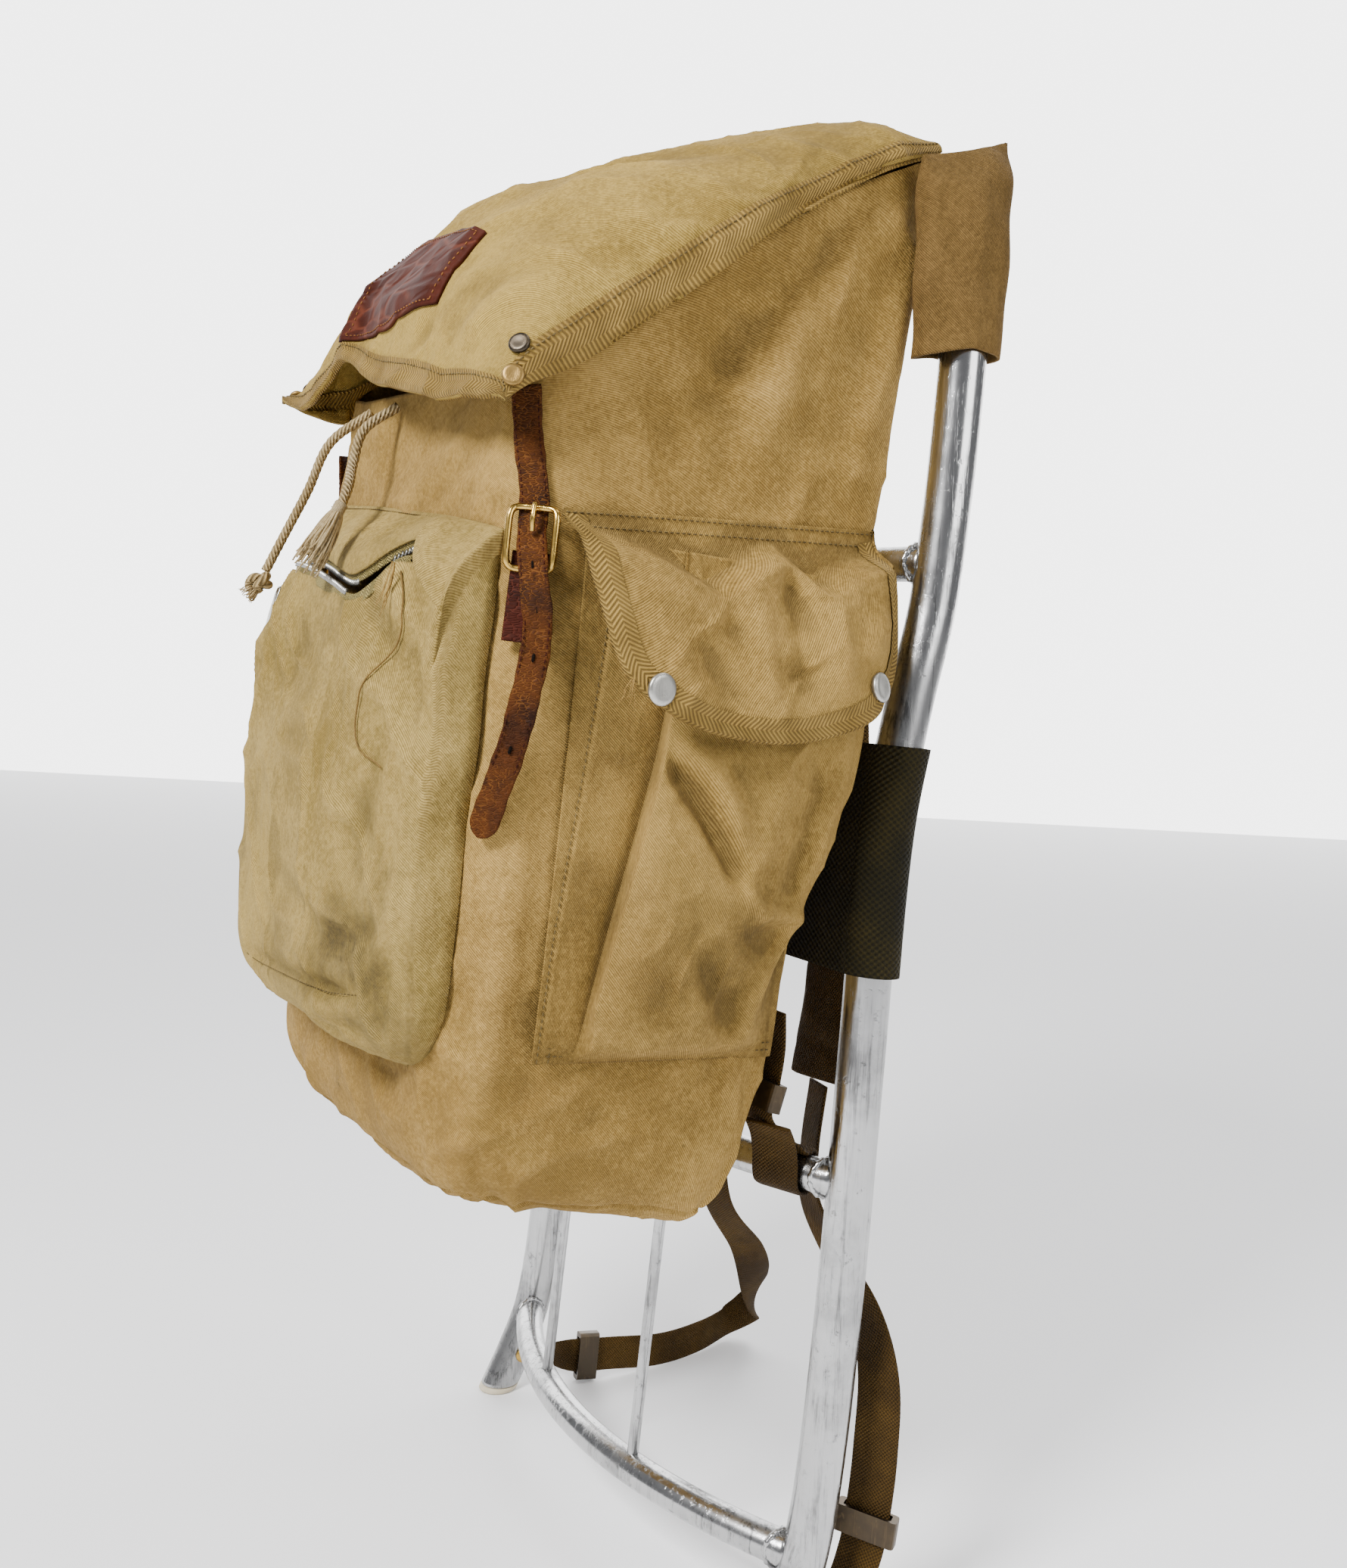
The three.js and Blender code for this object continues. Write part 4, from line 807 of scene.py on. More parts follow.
def add_bag():
    """The bag: its sections, moved along the normal by folds, creases and gathers, over a dished bottom."""
    angle = bag_angles()
    level = np.concatenate([np.linspace(0, 2, 37)[:-1], np.linspace(2, BAG_TOP, 101)])
    grid = bag_point(*np.meshgrid(level, angle, indexing="ij"))
    z = grid[..., 2]
    normal = grid_normals(grid, True)
    if (normal[70, :, :2] * (grid[70, :, :2] - grid[70].mean(0)[:2])).sum() < 0:
        normal = -normal
    clear = 1 - 0.85 * ramp(np.abs(grid[..., 0]), 151.5, 158) * ramp(z, 320, 340) * ramp(-z, -600, -580)
    lift = folds(grid, BAG_FOLDS) + waves(grid, 95, 1) * 1.6
    lift = lift + crumple(grid, 85, 6) * 2.4 + crumple(grid, 45, 16) * 0.8
    gather = np.sin(angle[None] * 22 + z / 14 + waves(grid, 70, 5) * 3) * ramp(-z, -300, -262)
    seam = np.exp(-(((level - 1.25) / 0.05) ** 2))[:, None]
    lift = lift * clear + gather * 0.8 - seam * 2.2 - 1.4
    rim = ramp(level, 7.6, BAG_TOP)[:, None]
    grid = grid + normal * (lift * (1 - rim) - 0.8 * rim)[..., None]
    centre = grid[0].mean(0)
    share = np.linspace(0.03, 1, 17)[:-1, None, None]
    rays = np.sin(angle * 23)[None, :, None] * np.array([0, 0, 1.0])
    bottom = centre + (grid[0] - centre) * share + rays * 0.8 * share * (1.2 - share)
    bottom = bottom + (1 - share**2) * (0, 0, -3.0)
    grid = np.concatenate([bottom, grid])
    piece("canvas_bag", grid, CANVAS, ["bag_body"], wall=CLOTH, caps=False)


add_bag()

# Lid: rows from its back to its front, each with the crown's y, z, the side edges' y, z and the half width
LID_ROWS = np.array([
    (2, 834.4, -2, 815.1, 148.5), (-45, 838, -50, 789, 157), (-105, 817, -105, 749, 160),
    (-165, 788, -160, 701, 160), (-214, 752, -205, 664, 160), (-240, 708, -230, 650, 158),
    (-250, 662, -240, 642, 155)], float)
LID_FOLDS = [
    ((60, -150, 800), (140, -90, 765), 18, -5.0), ((30, -60, 836), (120, -20, 815), 16, 4.8),
    ((150, -183, 690), (150, -156, 722), 6, 4.5), ((152, -170, 690), (154, -148, 715), 5, -4.0),
    ((154, -140, 715), (156, -118, 745), 6, 3.6), ((155, -118, 735), (157, -95, 760), 5, -3.4),
    ((90, -215, 735), (155, -170, 705), 12, -4.0), ((-20, -246, 700), (90, -236, 690), 14, 4.0),
    ((10, -250, 690), (-60, -250, 705), 10, -4.8), ((-60, -251, 690), (-50, -232, 740), 12, 5.1),
    ((60, -190, 775), (-30, -200, 770), 16, 3.2), ((20, -40, 838), (-90, -40, 836), 20, -4.8),
    ((110, -247, 665), (148, -225, 690), 10, 4.2), ((130, -60, 800), (150, -100, 760), 10, -3.2),
    ((140, -235, 650), (150, -205, 672), 7, -3.6), ((60, -246, 675), (80, -236, 720), 10, -3.4)]
LID_DROP = np.array([(-1, -10), (-.6, 2), (-.2, 0), (.1, 6), (.4, 14), (.7, 9), (.9, 3), (1, 0)])
PATCH = np.array([[(-.169, .691), (.285, .714)], [(-.208, .945), (.25, .847)]])


def lid_point(u, v):
    """The lid: each row is an arch from edge to edge; the front left corner kicks out, the front waves."""
    u, v = np.broadcast_arrays(np.asarray(u, float), np.asarray(v, float))
    crown_y, crown_z, edge_y, edge_z, half = read_rows(LID_ROWS, v * (len(LID_ROWS) - 1))
    s, c = np.sin(u * np.pi / 2), np.maximum(np.cos(u * np.pi / 2), 0)
    x = half * spow(s, 0.9)
    corner = np.clip((v - 0.7) / 0.3, 0, 1) * np.clip((-u - 0.5) / 0.5, 0, 1)
    arch = 16 * np.exp(-(((x + 50) / 42) ** 2)) * np.clip((v - 0.8) / 0.2, 0, 1)
    y = edge_y + (crown_y - edge_y) * c - 12 * corner
    z = edge_z + (crown_z - edge_z) * c**0.8 - 0.07 * x * v + 12 * corner + arch
    z = z - np.interp(u, LID_DROP[:, 0], LID_DROP[:, 1]) * ramp(v, 0.66, 1)
    return np.stack([x - 16 * corner, y, z], -1)


def lid_surface(u, v, lift=0.0):
    """The lid with its folds; lift is measured out from the cloth."""
    h = 1e-3
    base = lid_point(u, v)
    du = lid_point(u + h, np.clip(v, h, 1 - h)) - lid_point(u - h, np.clip(v, h, 1 - h))
    dv = lid_point(u, np.clip(v + h, 0, 1)) - lid_point(u, np.clip(v - h, 0, 1))
    normal = unit(np.cross(du, dv))
    normal = np.where(normal[..., 2:] < normal[..., 1:2] * 0.6, -normal, normal)
    wave = folds(base, LID_FOLDS) + waves(base, 80, 11) * 1.7
    wave = wave + crumple(base, 75, 14) * 2.4 + crumple(base, 38, 18) * 0.8
    rear = ramp(np.asarray(v, float), 0, 0.12)
    return base + normal * (wave * rear + 2 + lift)[..., None]


def edge_strip(surface, edge, inward, stand=0.9, back=2.6, count=9):
    """A tape folded over an edge: from the face inwards, over the edge and back underneath.
    surface(u, v, lift) is the cloth, edge its edge in u, v, and inward the step over the tape's width."""
    share = np.concatenate([np.linspace(1, 0.06, count), [0, 0], np.linspace(0.06, 1, count)])
    lift = np.concatenate([np.full(count, stand), [stand * 0.6, -back - stand * 0.6],
                           np.full(count, -back - stand)])
    spot = edge[:, None] + inward[:, None] * share[None, :, None]
    return surface(spot[..., 0], spot[..., 1], lift)


def lid_edge():
    """The lid's free edge in u, v, down one side, along the front and up the other, with the step inwards."""
    near, far = np.linspace(0.01, 1, 120), np.linspace(1, -1, 160)
    edge = np.concatenate([np.stack([np.ones(120), near], -1), np.stack([far, np.ones(160)], -1)[1:],
                           np.stack([-np.ones(120), near[::-1]], -1)[1:]])
    inward = np.repeat([(-0.12, 0), (0, -0.056), (0.12, 0)], (120, 159, 119), axis=0)
    return edge, np.stack([softened(inward[:, k]) for k in (0, 1)], -1)


def patch_spot(a, b):
    """A place on the leather patch in the lid's u, v: a and b run between its four corners."""
    a, b = a[..., None], b[..., None]
    return (PATCH[0, 0] * (1 - a) + PATCH[0, 1] * a) * (1 - b) + (PATCH[1, 0] * (1 - a) + PATCH[1, 1] * a) * b


def on_lid(spot, lift):
    """Points at places in the lid's u, v, lifted off its cloth."""
    return lid_surface(spot[..., 0], spot[..., 1], lift)


def add_lid():
    """The lid's cloth, its bound edge and its leather patch, with their stitches."""
    grid = lid_surface(*np.meshgrid(np.linspace(-1, 1, 221), np.linspace(0, 1, 180)))
    lid = piece("lid_cloth", grid, LIGHT_CANVAS, ["lid"], wrap=False, out=(0, -0.5, 1), wall=CLOTH)
    edge, inward = lid_edge()
    tape = piece("lid_binding", edge_strip(lid_surface, edge, inward), TAPE, wrap=False)
    b, a = np.meshgrid(np.linspace(0, 1, 60), np.linspace(0, 1, 60), indexing="ij")
    front = (0, -0.7, 0.7)
    patch = piece("leather_patch", on_lid(patch_spot(a, b), 2.0), PATCH_LEATHER,
                  ["lid_patch"], wrap=False, out=front, wall=CLOTH)
    t, near, far = np.linspace(0.05, 0.95, 80), np.full(80, 0.05), np.full(80, 0.95)
    sides = [on_lid(patch_spot(*spot), 2.3) for spot in ((t, near), (far, t), (t, far), (near, t))]
    sewn = add_stitches("patch_stitches", sides, front, PATCH_THREAD, 2.0, 0.3)
    row = on_lid(edge + inward * 0.82, 1.2)
    seam = add_stitches("lid_stitches", [row], (0.4, -0.5, 0.7), THREAD)


add_lid()

# Frame tubes: the rails' z and y, and each crossbar's height and bow
RAIL_ROWS = np.array([
    (-14, -30), (0, -24), (30, -12), (60, -3), (110, 1), (200, 1), (330, -3), (450, -6), (520, 2),
    (580, 11), (700, 12), (800, 5)], float)
BARS = dict(upper=(597, 25), lower=(262, 50), bottom=(57, 49))
RAIL_X, RAIL_RADIUS, BAR_RADIUS, ROD_RADIUS = 170.0, 12.7, 9.5, 3.4
ROD_X, PIN_Z, WELD_X = 57.0, 27.0, 158.2
# Radius and height above the table of the rings that end a rail, and of its plug's
FOOT_RINGS = ((10.7, 4.0), (12.0, 4.0), (12.7, 4.7), (12.7, 6.5))
PLUG_RINGS = (
    (9.5, 14), (9.6, 3.8), (12.4, 3.7), (12.7, 3.0), (12.7, 0.9), (12.2, 0.25), (11.2, 0.02), (0.4, 0.02))
# Radius of the anchor pin and its place along the pin
PIN_RINGS = (
    (0.01, -15.6), (4.6, -15.4), (5.8, -14.6), (6, -13.6), (3, -13.4), (3, 13.4), (6, 13.6), (5.8, 14.6),
    (4.6, 15.4), (0.01, 15.6))


def rail_y(z):
    """A rail's place over z."""
    return read_table(RAIL_ROWS, z)


def bar_y(word, x):
    """A crossbar's place over x: a parabola that bows away from the wearer between the rails."""
    z, bow = BARS[word]
    return rail_y(z) - bow * (1 - (x / RAIL_X) ** 2)


def level_ring(centre, along, radius, height, sides=48):
    """A ring round a leaning axis, slid along it until each point lies at one height above the table."""
    side = np.array([1.0, 0, 0])
    c = circle(radius, sides)
    points = centre + c[:, :1] * side + c[:, 1:] * np.cross(along, side)
    rise = world(points)[:, 2] * 1000
    return points + along * ((height - rise) / (turned(along)[2]))[:, None]


def add_rails():
    """Both rails, a circle along each rail's curve with a levelled foot, and the plugs in their feet."""
    for word, side in SIDES.items():
        z = np.concatenate([np.linspace(12, 60, 30), np.linspace(60, 786, 150)[1:]])
        path = np.stack([np.full(z.shape, side * RAIL_X), rail_y(z), z], -1)
        body = swept(path, (1, 0, 0), circle(RAIL_RADIUS, 48))
        along = unit(path[0] - np.array([side * RAIL_X, rail_y(0.0), 0.0]))
        foot = [level_ring(path[0], along, r, h) for r, h in FOOT_RINGS]
        last = foot[-1]
        miss = lambda shift, way: np.linalg.norm(np.roll(last[::way], shift, 0) - body[0], axis=1).sum()
        _, shift, way = min((miss(shift, way), shift, way) for way in (1, -1) for shift in range(48))
        foot = [np.roll(ring[::way], shift, 0) for ring in foot]
        piece(f"tube_{word}", np.concatenate([np.array(foot), body]), ALUMINIUM, [f"rail_{word}"])
        plug = np.array([level_ring(path[0], along, r, h) for r, h in PLUG_RINGS])
        piece(f"plug_{word}", plug, PLUG, [f"foot_plug_{word}"])


def add_bars():
    """The crossbars, a circle along each bow, with a rippled weld bead round both ends."""
    for word, (z, _) in BARS.items():
        x = np.linspace(-163, 163, 120)
        path = np.stack([x, bar_y(word, x), np.full(x.shape, float(z))], -1)
        piece(f"bar_{word}", swept(path, (0, 0, 1), circle(BAR_RADIUS, 40)), ALUMINIUM,
              [f"crossbar_{word}"])
        bead = np.linspace(0, TAU, 49)[:-1]
        ripple = (1 + 0.22 * np.sin(bead * 17))[:, None, None]
        for name, side in SIDES.items():
            centre = np.array([side * WELD_X, bar_y(word, WELD_X), z])
            ring = centre + np.stack([side * -2.6 * (1 - np.abs(np.sin(bead))) * 0.6, np.cos(bead) * 10.2,
                                      np.sin(bead) * 10.2], -1)
            grid = closed_tube(ring, (1, 0, 0), 1.7, 10, ripple)
            piece(f"weld_{word}_{name}", grid, ALUMINIUM, loop=True)


def add_rods():
    """The upright brace rods between the two lower bars, and the turned pins through the feet."""
    a = np.linspace(0, TAU, 33)[:-1]
    for word, side in SIDES.items():
        x = side * ROD_X
        path = np.linspace((x, bar_y("bottom", x), 60.0), (x, bar_y("lower", x), 258.0), 40)
        piece(f"rod_{word}", swept(path, (1, 0, 0), circle(ROD_RADIUS, 24)), ALUMINIUM,
              [f"brace_rod_{word}"])
        centre = np.array([side * RAIL_X, rail_y(PIN_Z), PIN_Z])
        ring = lambda r, h: centre + np.stack([np.full(32, side * h), np.cos(a) * r, np.sin(a) * r], -1)
        grid = np.array([ring(r, h) for r, h in PIN_RINGS])
        piece(f"pin_{word}", grid, BRASS, [f"anchor_pin_{word}"])


add_rails()
add_bars()
add_rods()

# Lid straps, buckles and tabs, over the bag's front corners: height, stand off the bag and shift across
STRAP_ROWS = np.array([
    (645, 4, -13), (620, 3, -8), (594, 2.6, -2), (574, 6.4, 0), (552, 10.5, 5), (534, 11.5, 9),
    (505, 10.5, 8), (470, 8, 2), (434, 6, -7)], float)
STRAP_ANGLE = dict(right=-0.6, left=0.42 - np.pi)
STRAP_TURN, STRAP_WIDTH, STRAP_STEPS = 0.64, 14, 150
SLITS = np.array([0.4, 0.5, 0.6, 0.7, 0.8, 0.88])
BUCKLE_SEAT = 574.0, 6.4


def corner_frame(side):
    """Out from the bag's front corner, and across the strap that lies there."""
    c, s = np.cos(STRAP_TURN), np.sin(STRAP_TURN)
    return np.array([side * c, -s, 0]), np.array([s, side * c, 0])


def corner_point(word, z, out):
    """Points at heights on the bag's front corner, moved out from it."""
    return bag_at(STRAP_ANGLE[word], z) + corner_frame(SIDES[word])[0] * np.asarray(out)[..., None]


def add_lid_straps():
    """Each lid strap with its slits and stitches, its buckle and prong, and the tab that holds the buckle."""
    up = np.array([0, 0, 1.0])
    for word, side in SIDES.items():
        out, across = corner_frame(side)
        path = corner_point(word, STRAP_ROWS[:, 0], STRAP_ROWS[:, 1]) + across * (side * STRAP_ROWS[:, 2:])
        path = route(path, STRAP_STEPS)
        _, wide, high = framed(path, across)
        if (high[70] * out).sum() < 0:
            high = -high
        s = np.linspace(0, 1, STRAP_STEPS)
        width = STRAP_WIDTH * np.sqrt(np.clip(1 - ((s - 0.955) / 0.0455).clip(0, 1) ** 2.4, 0.004, 1))
        width = width * (1 + 0.03 * np.sin(s * 55) + 0.02 * np.sin(s * 131))
        curl = (1.1 * np.sin(s * 30) * ramp(s, 0.35, 0.6))[:, None, None]
        profile = slab(1, 2.4, 40)[None] * np.stack([width, np.ones(STRAP_STEPS)], -1)[:, None]
        grid = path[:, None] + wide[:, None] * profile[..., :1] + high[:, None] * (profile[..., 1:] + curl)
        piece(f"strap_{word}", grid, STRAP_LEATHER, [f"lid_strap_{word}"])
        a = np.linspace(0, TAU, 121)[:-1, None]
        seat = corner_point(word, *BUCKLE_SEAT)
        ring = seat + across * 11.2 * spow(np.cos(a), 0.32) + up * 14.4 * spow(np.sin(a), 0.32)
        ring = ring + out * 1.2 * np.cos(a * 2)
        grid = closed_tube(ring, out, 1.65, 14)
        piece(f"buckle_{word}", grid, BRASS, [f"strap_buckle_{word}"], loop=True)
        prong = seat + across * 0.4 + np.outer([2.4, 3.4, 4.6, 3.0], out) + np.outer([16, 14, 9, 3.0], up)
        piece(f"prong_{word}", swept(route(prong, 24), across, circle(1.2, 12)), BRASS)
        tab = route(corner_point(word, np.array([568.0, 548, 526]), np.array([2.6, 2.4, 2.2])), 40)
        piece(f"tab_{word}", swept(tab, across, slab(18, 2.4, 32)), TAB_LEATHER,
              [f"buckle_tab_{word}"])
        at = (SLITS * (STRAP_STEPS - 1)).astype(int)
        aim = unit(path[at + 1] - path[at - 1]) * 2.4
        rows = np.stack([path[at] - aim, path[at] + aim], 1) + out
        add_stitches(f"strap_slits_{word}", rows, out, SLIT, 4.4, 0.75, 4.8)
        row = between_rows(np.linspace(0.03, 0.93, 62), s, path)
        add_stitches(f"strap_stitches_{word}", [row + across * k * 5.6 + out * 1.15 for k in (-1, 1)], out,
                     TAB_LEATHER, 2.2, 0.38)


add_lid_straps()

# Front pocket round POCKET_X: height, half width and the face's place; the lips are those of its zip mouth
POCKET_X, POCKET_FOOT, POCKET_TOP, LIP_TOP, PULL_X = 3, 314, 574, 572, -92.0
POCKET_CLOTH = 1.6
FRONT_ROWS = np.array([
    (314, 98, -244), (322, 114, -259), (338, 125, -268), (370, 129, -271), (445, 131, -274),
    (518, 131, -271), (556, 129, -264), (576, 127, -252)], float)
LOWER_LIP = np.array([
    (-140, 566), (-112, 566), (-70, 562), (-30, 556), (10, 548), (46, 541), (66, 548), (80, 558), (96, 560),
    (110, 556), (120, 552), (140, 550)], float)
UPPER_LIP = np.array([
    (-140, 577), (-112, 576.5), (-70, 572.5), (-30, 566.5), (10, 558.5), (30, 556), (46, 560), (62, 569),
    (78, 573), (92, 567), (104, 557), (116, 547), (126, 539), (132, 535), (140, 533)], float)
SEAM = np.array([(-153, 615), (-90, 607), (-28, 601), (13, 596), (105, 584), (150, 575)], float)
FRONT_FOLDS = [
    ((112, -268, 548), (130, -262, 480), 8, -8), ((58, -272, 548), (118, -268, 508), 9, -6.5),
    ((90, -272, 540), (126, -268, 520), 7, 5.0), ((20, -273, 538), (-40, -273, 500), 14, -4),
    ((-60, -272, 545), (-110, -270, 500), 14, 4), ((90, -272, 500), (60, -273, 420), 15, 4.0),
    ((104, -272, 470), (88, -273, 390), 9, -5), ((30, -273, 480), (20, -273, 380), 20, 3.5),
    ((-50, -273, 470), (-40, -273, 380), 24, -3.5), ((128, -266, 350), (20, -268, 346), 4, -5.0),
    ((20, -268, 346), (-90, -264, 338), 4, -4.5), ((70, -270, 372), (120, -266, 388), 9, -6.0),
    ((110, -266, 338), (40, -264, 330), 10, 4.5), ((118, -268, 362), (126, -262, 410), 8, 5.0),
    ((60, -262, 326), (95, -258, 334), 6, -4.0), ((-10, -272, 400), (60, -272, 372), 12, -4.0),
    ((112, -272, 440), (124, -268, 470), 7, 4.0)]
# A thread that hangs down the pocket's face: places over x, z
HANG = np.array([
    (94, 555), (104, 540), (106, 530), (100, 516), (90, 497), (87, 480), (92, 467), (108, 461)], float)


def crowned(face, share):
    """The pocket's face, drawn back towards its sides by the cube of the share of its half width."""
    return face + np.where(share > 0, 20, 8) * np.abs(share) ** 3


def front_face(x, z):
    """Out from the bag at x, z: the pocket's superellipse section between its rows."""
    half, face = read_table(FRONT_ROWS, z)
    share = np.clip((x - POCKET_X) / half, -1, 1)
    back = bag_front(x, z) - 0.5
    return back + (crowned(face, share) - back) * oval(share, 10)


def pocket_angles(count=230):
    """Angles whose points are evenly spaced along the front pocket's section."""
    a = np.linspace(np.pi, TAU, 240)
    half, face = read_table(FRONT_ROWS, 430.0)
    gap = lengths(np.stack([half * spow(np.cos(a), 0.2), face * 0.16 * spow(np.sin(a), 0.2)], -1))
    return np.interp(np.linspace(0, gap[-1], count), gap, a)


def pocket_grid():
    """The front pocket's cloth: sections from its foot up to the lower lip, moved out by folds and creases,
    with a welt along both edges and a short turn back to the bag underneath."""
    a, v = np.meshgrid(pocket_angles(), np.linspace(0, 1, 150))
    c, s = np.cos(a), np.sin(a)
    share, out = spow(c, 0.2), np.abs(s) ** 0.2
    lip = read_table(LOWER_LIP, np.clip(POCKET_X + 129 * share, -140, 140))
    lip = lip + (POCKET_TOP - lip) * ramp(-np.abs(s), -0.45, -0.15)
    z = POCKET_FOOT + (lip - POCKET_FOOT) * v
    half, face = read_table(FRONT_ROWS, z)
    x = POCKET_X + half * share
    back = bag_front(x, z) - 0.5
    grid = np.stack([x, back + (crowned(face, share) - back) * out, z], -1)
    puff = folds(grid, FRONT_FOLDS) + waves(grid, 70, 21) * 2.2
    puff = puff + crumple(grid, 60, 23) * 2.8 + crumple(grid, 34, 27)
    puff = puff * np.minimum(1, out * 1.2) * ramp(out, 0.25, 0.8) - ramp(out, 0.4, 0.9)
    welt = 1.3 * np.exp(-(((np.abs(a - 1.5 * np.pi) - 0.78) / 0.1) ** 2))
    dent = waves(grid, 45, 24) * 2.0 * ramp(np.abs(c), 0.8, 0.95)
    grid = grid + np.stack([np.sign(c) * welt + dent, -puff - welt, np.zeros_like(puff)], -1)
    x, y, z = np.moveaxis(grid[:1], -1, 0)
    wall = bag_front(x, z)
    under = [np.stack([x, wall - 0.5 + (y - wall) * k, z + 3.5 * (1 - k)], -1) for k in (0.0, 0.35, 0.7)]
    return np.concatenate(under + [grid])


def add_pocket_top(x, seam):
    """The pocket's top panel, from its seam on the bag to the upper lip, with an apron at its right end."""
    lip = read_table(UPPER_LIP, x)
    s = np.linspace(0, 1, 50)[:, None]
    z = seam + (lip - seam) * s
    over = ramp(x, 80, 98)
    base = bag_front(x, z) - 1.2
    reach = front_face(np.clip(x, -124, 128), np.minimum(lip, LIP_TOP)) + 4 - 5.5 * over
    y = base + (reach - base) * np.sin(np.pi / 2 * s) ** (1.6 - 0.7 * over)
    top = np.stack([np.broadcast_to(x, z.shape), y, z + 3 * np.sin(np.pi * s)], -1)
    top[..., 2] += (waves(top, 50, 25) * 1.6 + crumple(top, 40, 26) * 2.4) * np.sin(np.pi * s)
    apron = top[:, None, -1] + np.linspace(0, 1, 14)[1:, None] * np.array([-3.0, 0, -26.0])
    piece("front_pocket_top", np.concatenate([top, apron], 1), POCKET_CANVAS, wrap=False,
          out=(0, -0.7, 0.7), wall=POCKET_CLOTH)


def add_zip():
    """Open zip: a tape along each lip of the mouth, a row of teeth on each tape, and the hanging pull."""
    x = np.linspace(-118, 92, 240)
    low, high = read_table(LOWER_LIP, x), read_table(UPPER_LIP, x)
    lower = np.stack([x, front_face(x, low) + 2.2, low + 0.5], -1)
    upper = np.stack([x, front_face(x, np.minimum(high, LIP_TOP)) + 5.2, high - 0.8], -1)
    teeth = []
    for name, line, way in (("lower", lower, 1), ("upper", upper, -1)):
        share = np.linspace(0, 1, 8)[:, None, None]
        tape = line[None] + share * np.array([0, 1.0, 3.2 * way]) - np.array([0, 0, 4.0 * way]) * (1 - share)
        piece(f"zip_tape_{name}", tape, ZIP_TAPE, wrap=False, out=(0, -1, 0.2 * way), wall=0.7)
        top = line + np.array([0, 1.0, 3.4 * way])
        gap = lengths(top)
        at = np.arange(1, gap[-1], 2.9)
        mouth = np.interp(at, gap, x)
        spots, along = stations(top, at[(mouth < 34) | (mouth > 60) & (way < 0)] + 0.72 * way)
        up = np.broadcast_to(np.array([0, 0, 1.0]), along.shape)
        teeth.append(np.stack([spots, along * 0.6, unit(np.cross(along, up)) * 1.2, up * 1.5], 1))
    box = [(-1, -1, -1), (1, -1, -1), (1, 1, -1), (-1, 1, -1),
           (-.8, -.8, 1), (.8, -.8, 1), (.8, .8, 1), (-.8, .8, 1)]
    sides = [(0, 3, 2, 1), (4, 5, 6, 7), (0, 1, 5, 4), (1, 2, 6, 5), (2, 3, 7, 6), (3, 0, 4, 7)]
    many("zip_teeth", box, [sides], np.concatenate(teeth), ZIP_METAL)
    x, z = np.full(30, PULL_X), np.linspace(553, 518, 30)
    width = 9 * np.interp(np.linspace(0, 1, 30), [0, 0.08, 0.25, 0.9, 1], [0.5, 0.8, 0.72, 1, 0.55])
    profile = slab(1, 1.6, 24, 6)[None] * np.stack([width, np.ones(30)], -1)[:, None]
    pull = np.stack([x, front_face(x, z) - 1.6, z], -1)
    piece("pull_tab", swept(pull, (1, 0, 0), profile), NICKEL, ["zip_pull"])


def add_front_pocket():
    """The pocket's cloth, its top panel and zip, its stitches, and the threads that have come loose."""
    grid = pocket_grid()
    piece("front_pocket_cloth", grid, POCKET_CANVAS, ["front_pocket"], wrap=False, out=(0, -1, 0),
          wall=POCKET_CLOTH)
    x = np.linspace(-128, 133, 200)
    seam = read_table(SEAM, x)
    add_pocket_top(x, seam)
    add_zip()
    row = np.stack([x, bag_front(x, seam - 2.0) - 2.6, seam - 2.0], -1)
    add_stitches("front_seam_stitches", [row], (0, -1, 0.2), THREAD)
    x = np.linspace(-100, 118, 90)
    level = np.interp(x, [-100, -59, 73, 118], [335, 337, 346, 353])
    row = np.stack([x, front_face(x, level) + 1.2, level], -1)
    add_stitches("front_bottom_stitches", [row], (0, -1, 0), THREAD)
    face = grid[30:, 20:-20].reshape(-1, 3)
    x, z = read_rows(HANG, np.linspace(0, len(HANG) - 1, 90))
    near = ((face[:, 0] - x[:, None]) ** 2 + (face[:, 2] - z[:, None]) ** 2).argmin(1)
    hang = np.stack([x, softened(face[near, 1]) - 1.5, z], -1)
    piece("loose_thread", swept(hang, (0.3, 1, 0.2), circle(0.42, 6)), PALE_THREAD)
    tuft("zip_fray", (95, -263, 559), (90, -268, 534), 1.5, 4.0, 6, 0.28, 12, paint=PALE_THREAD)


add_front_pocket()

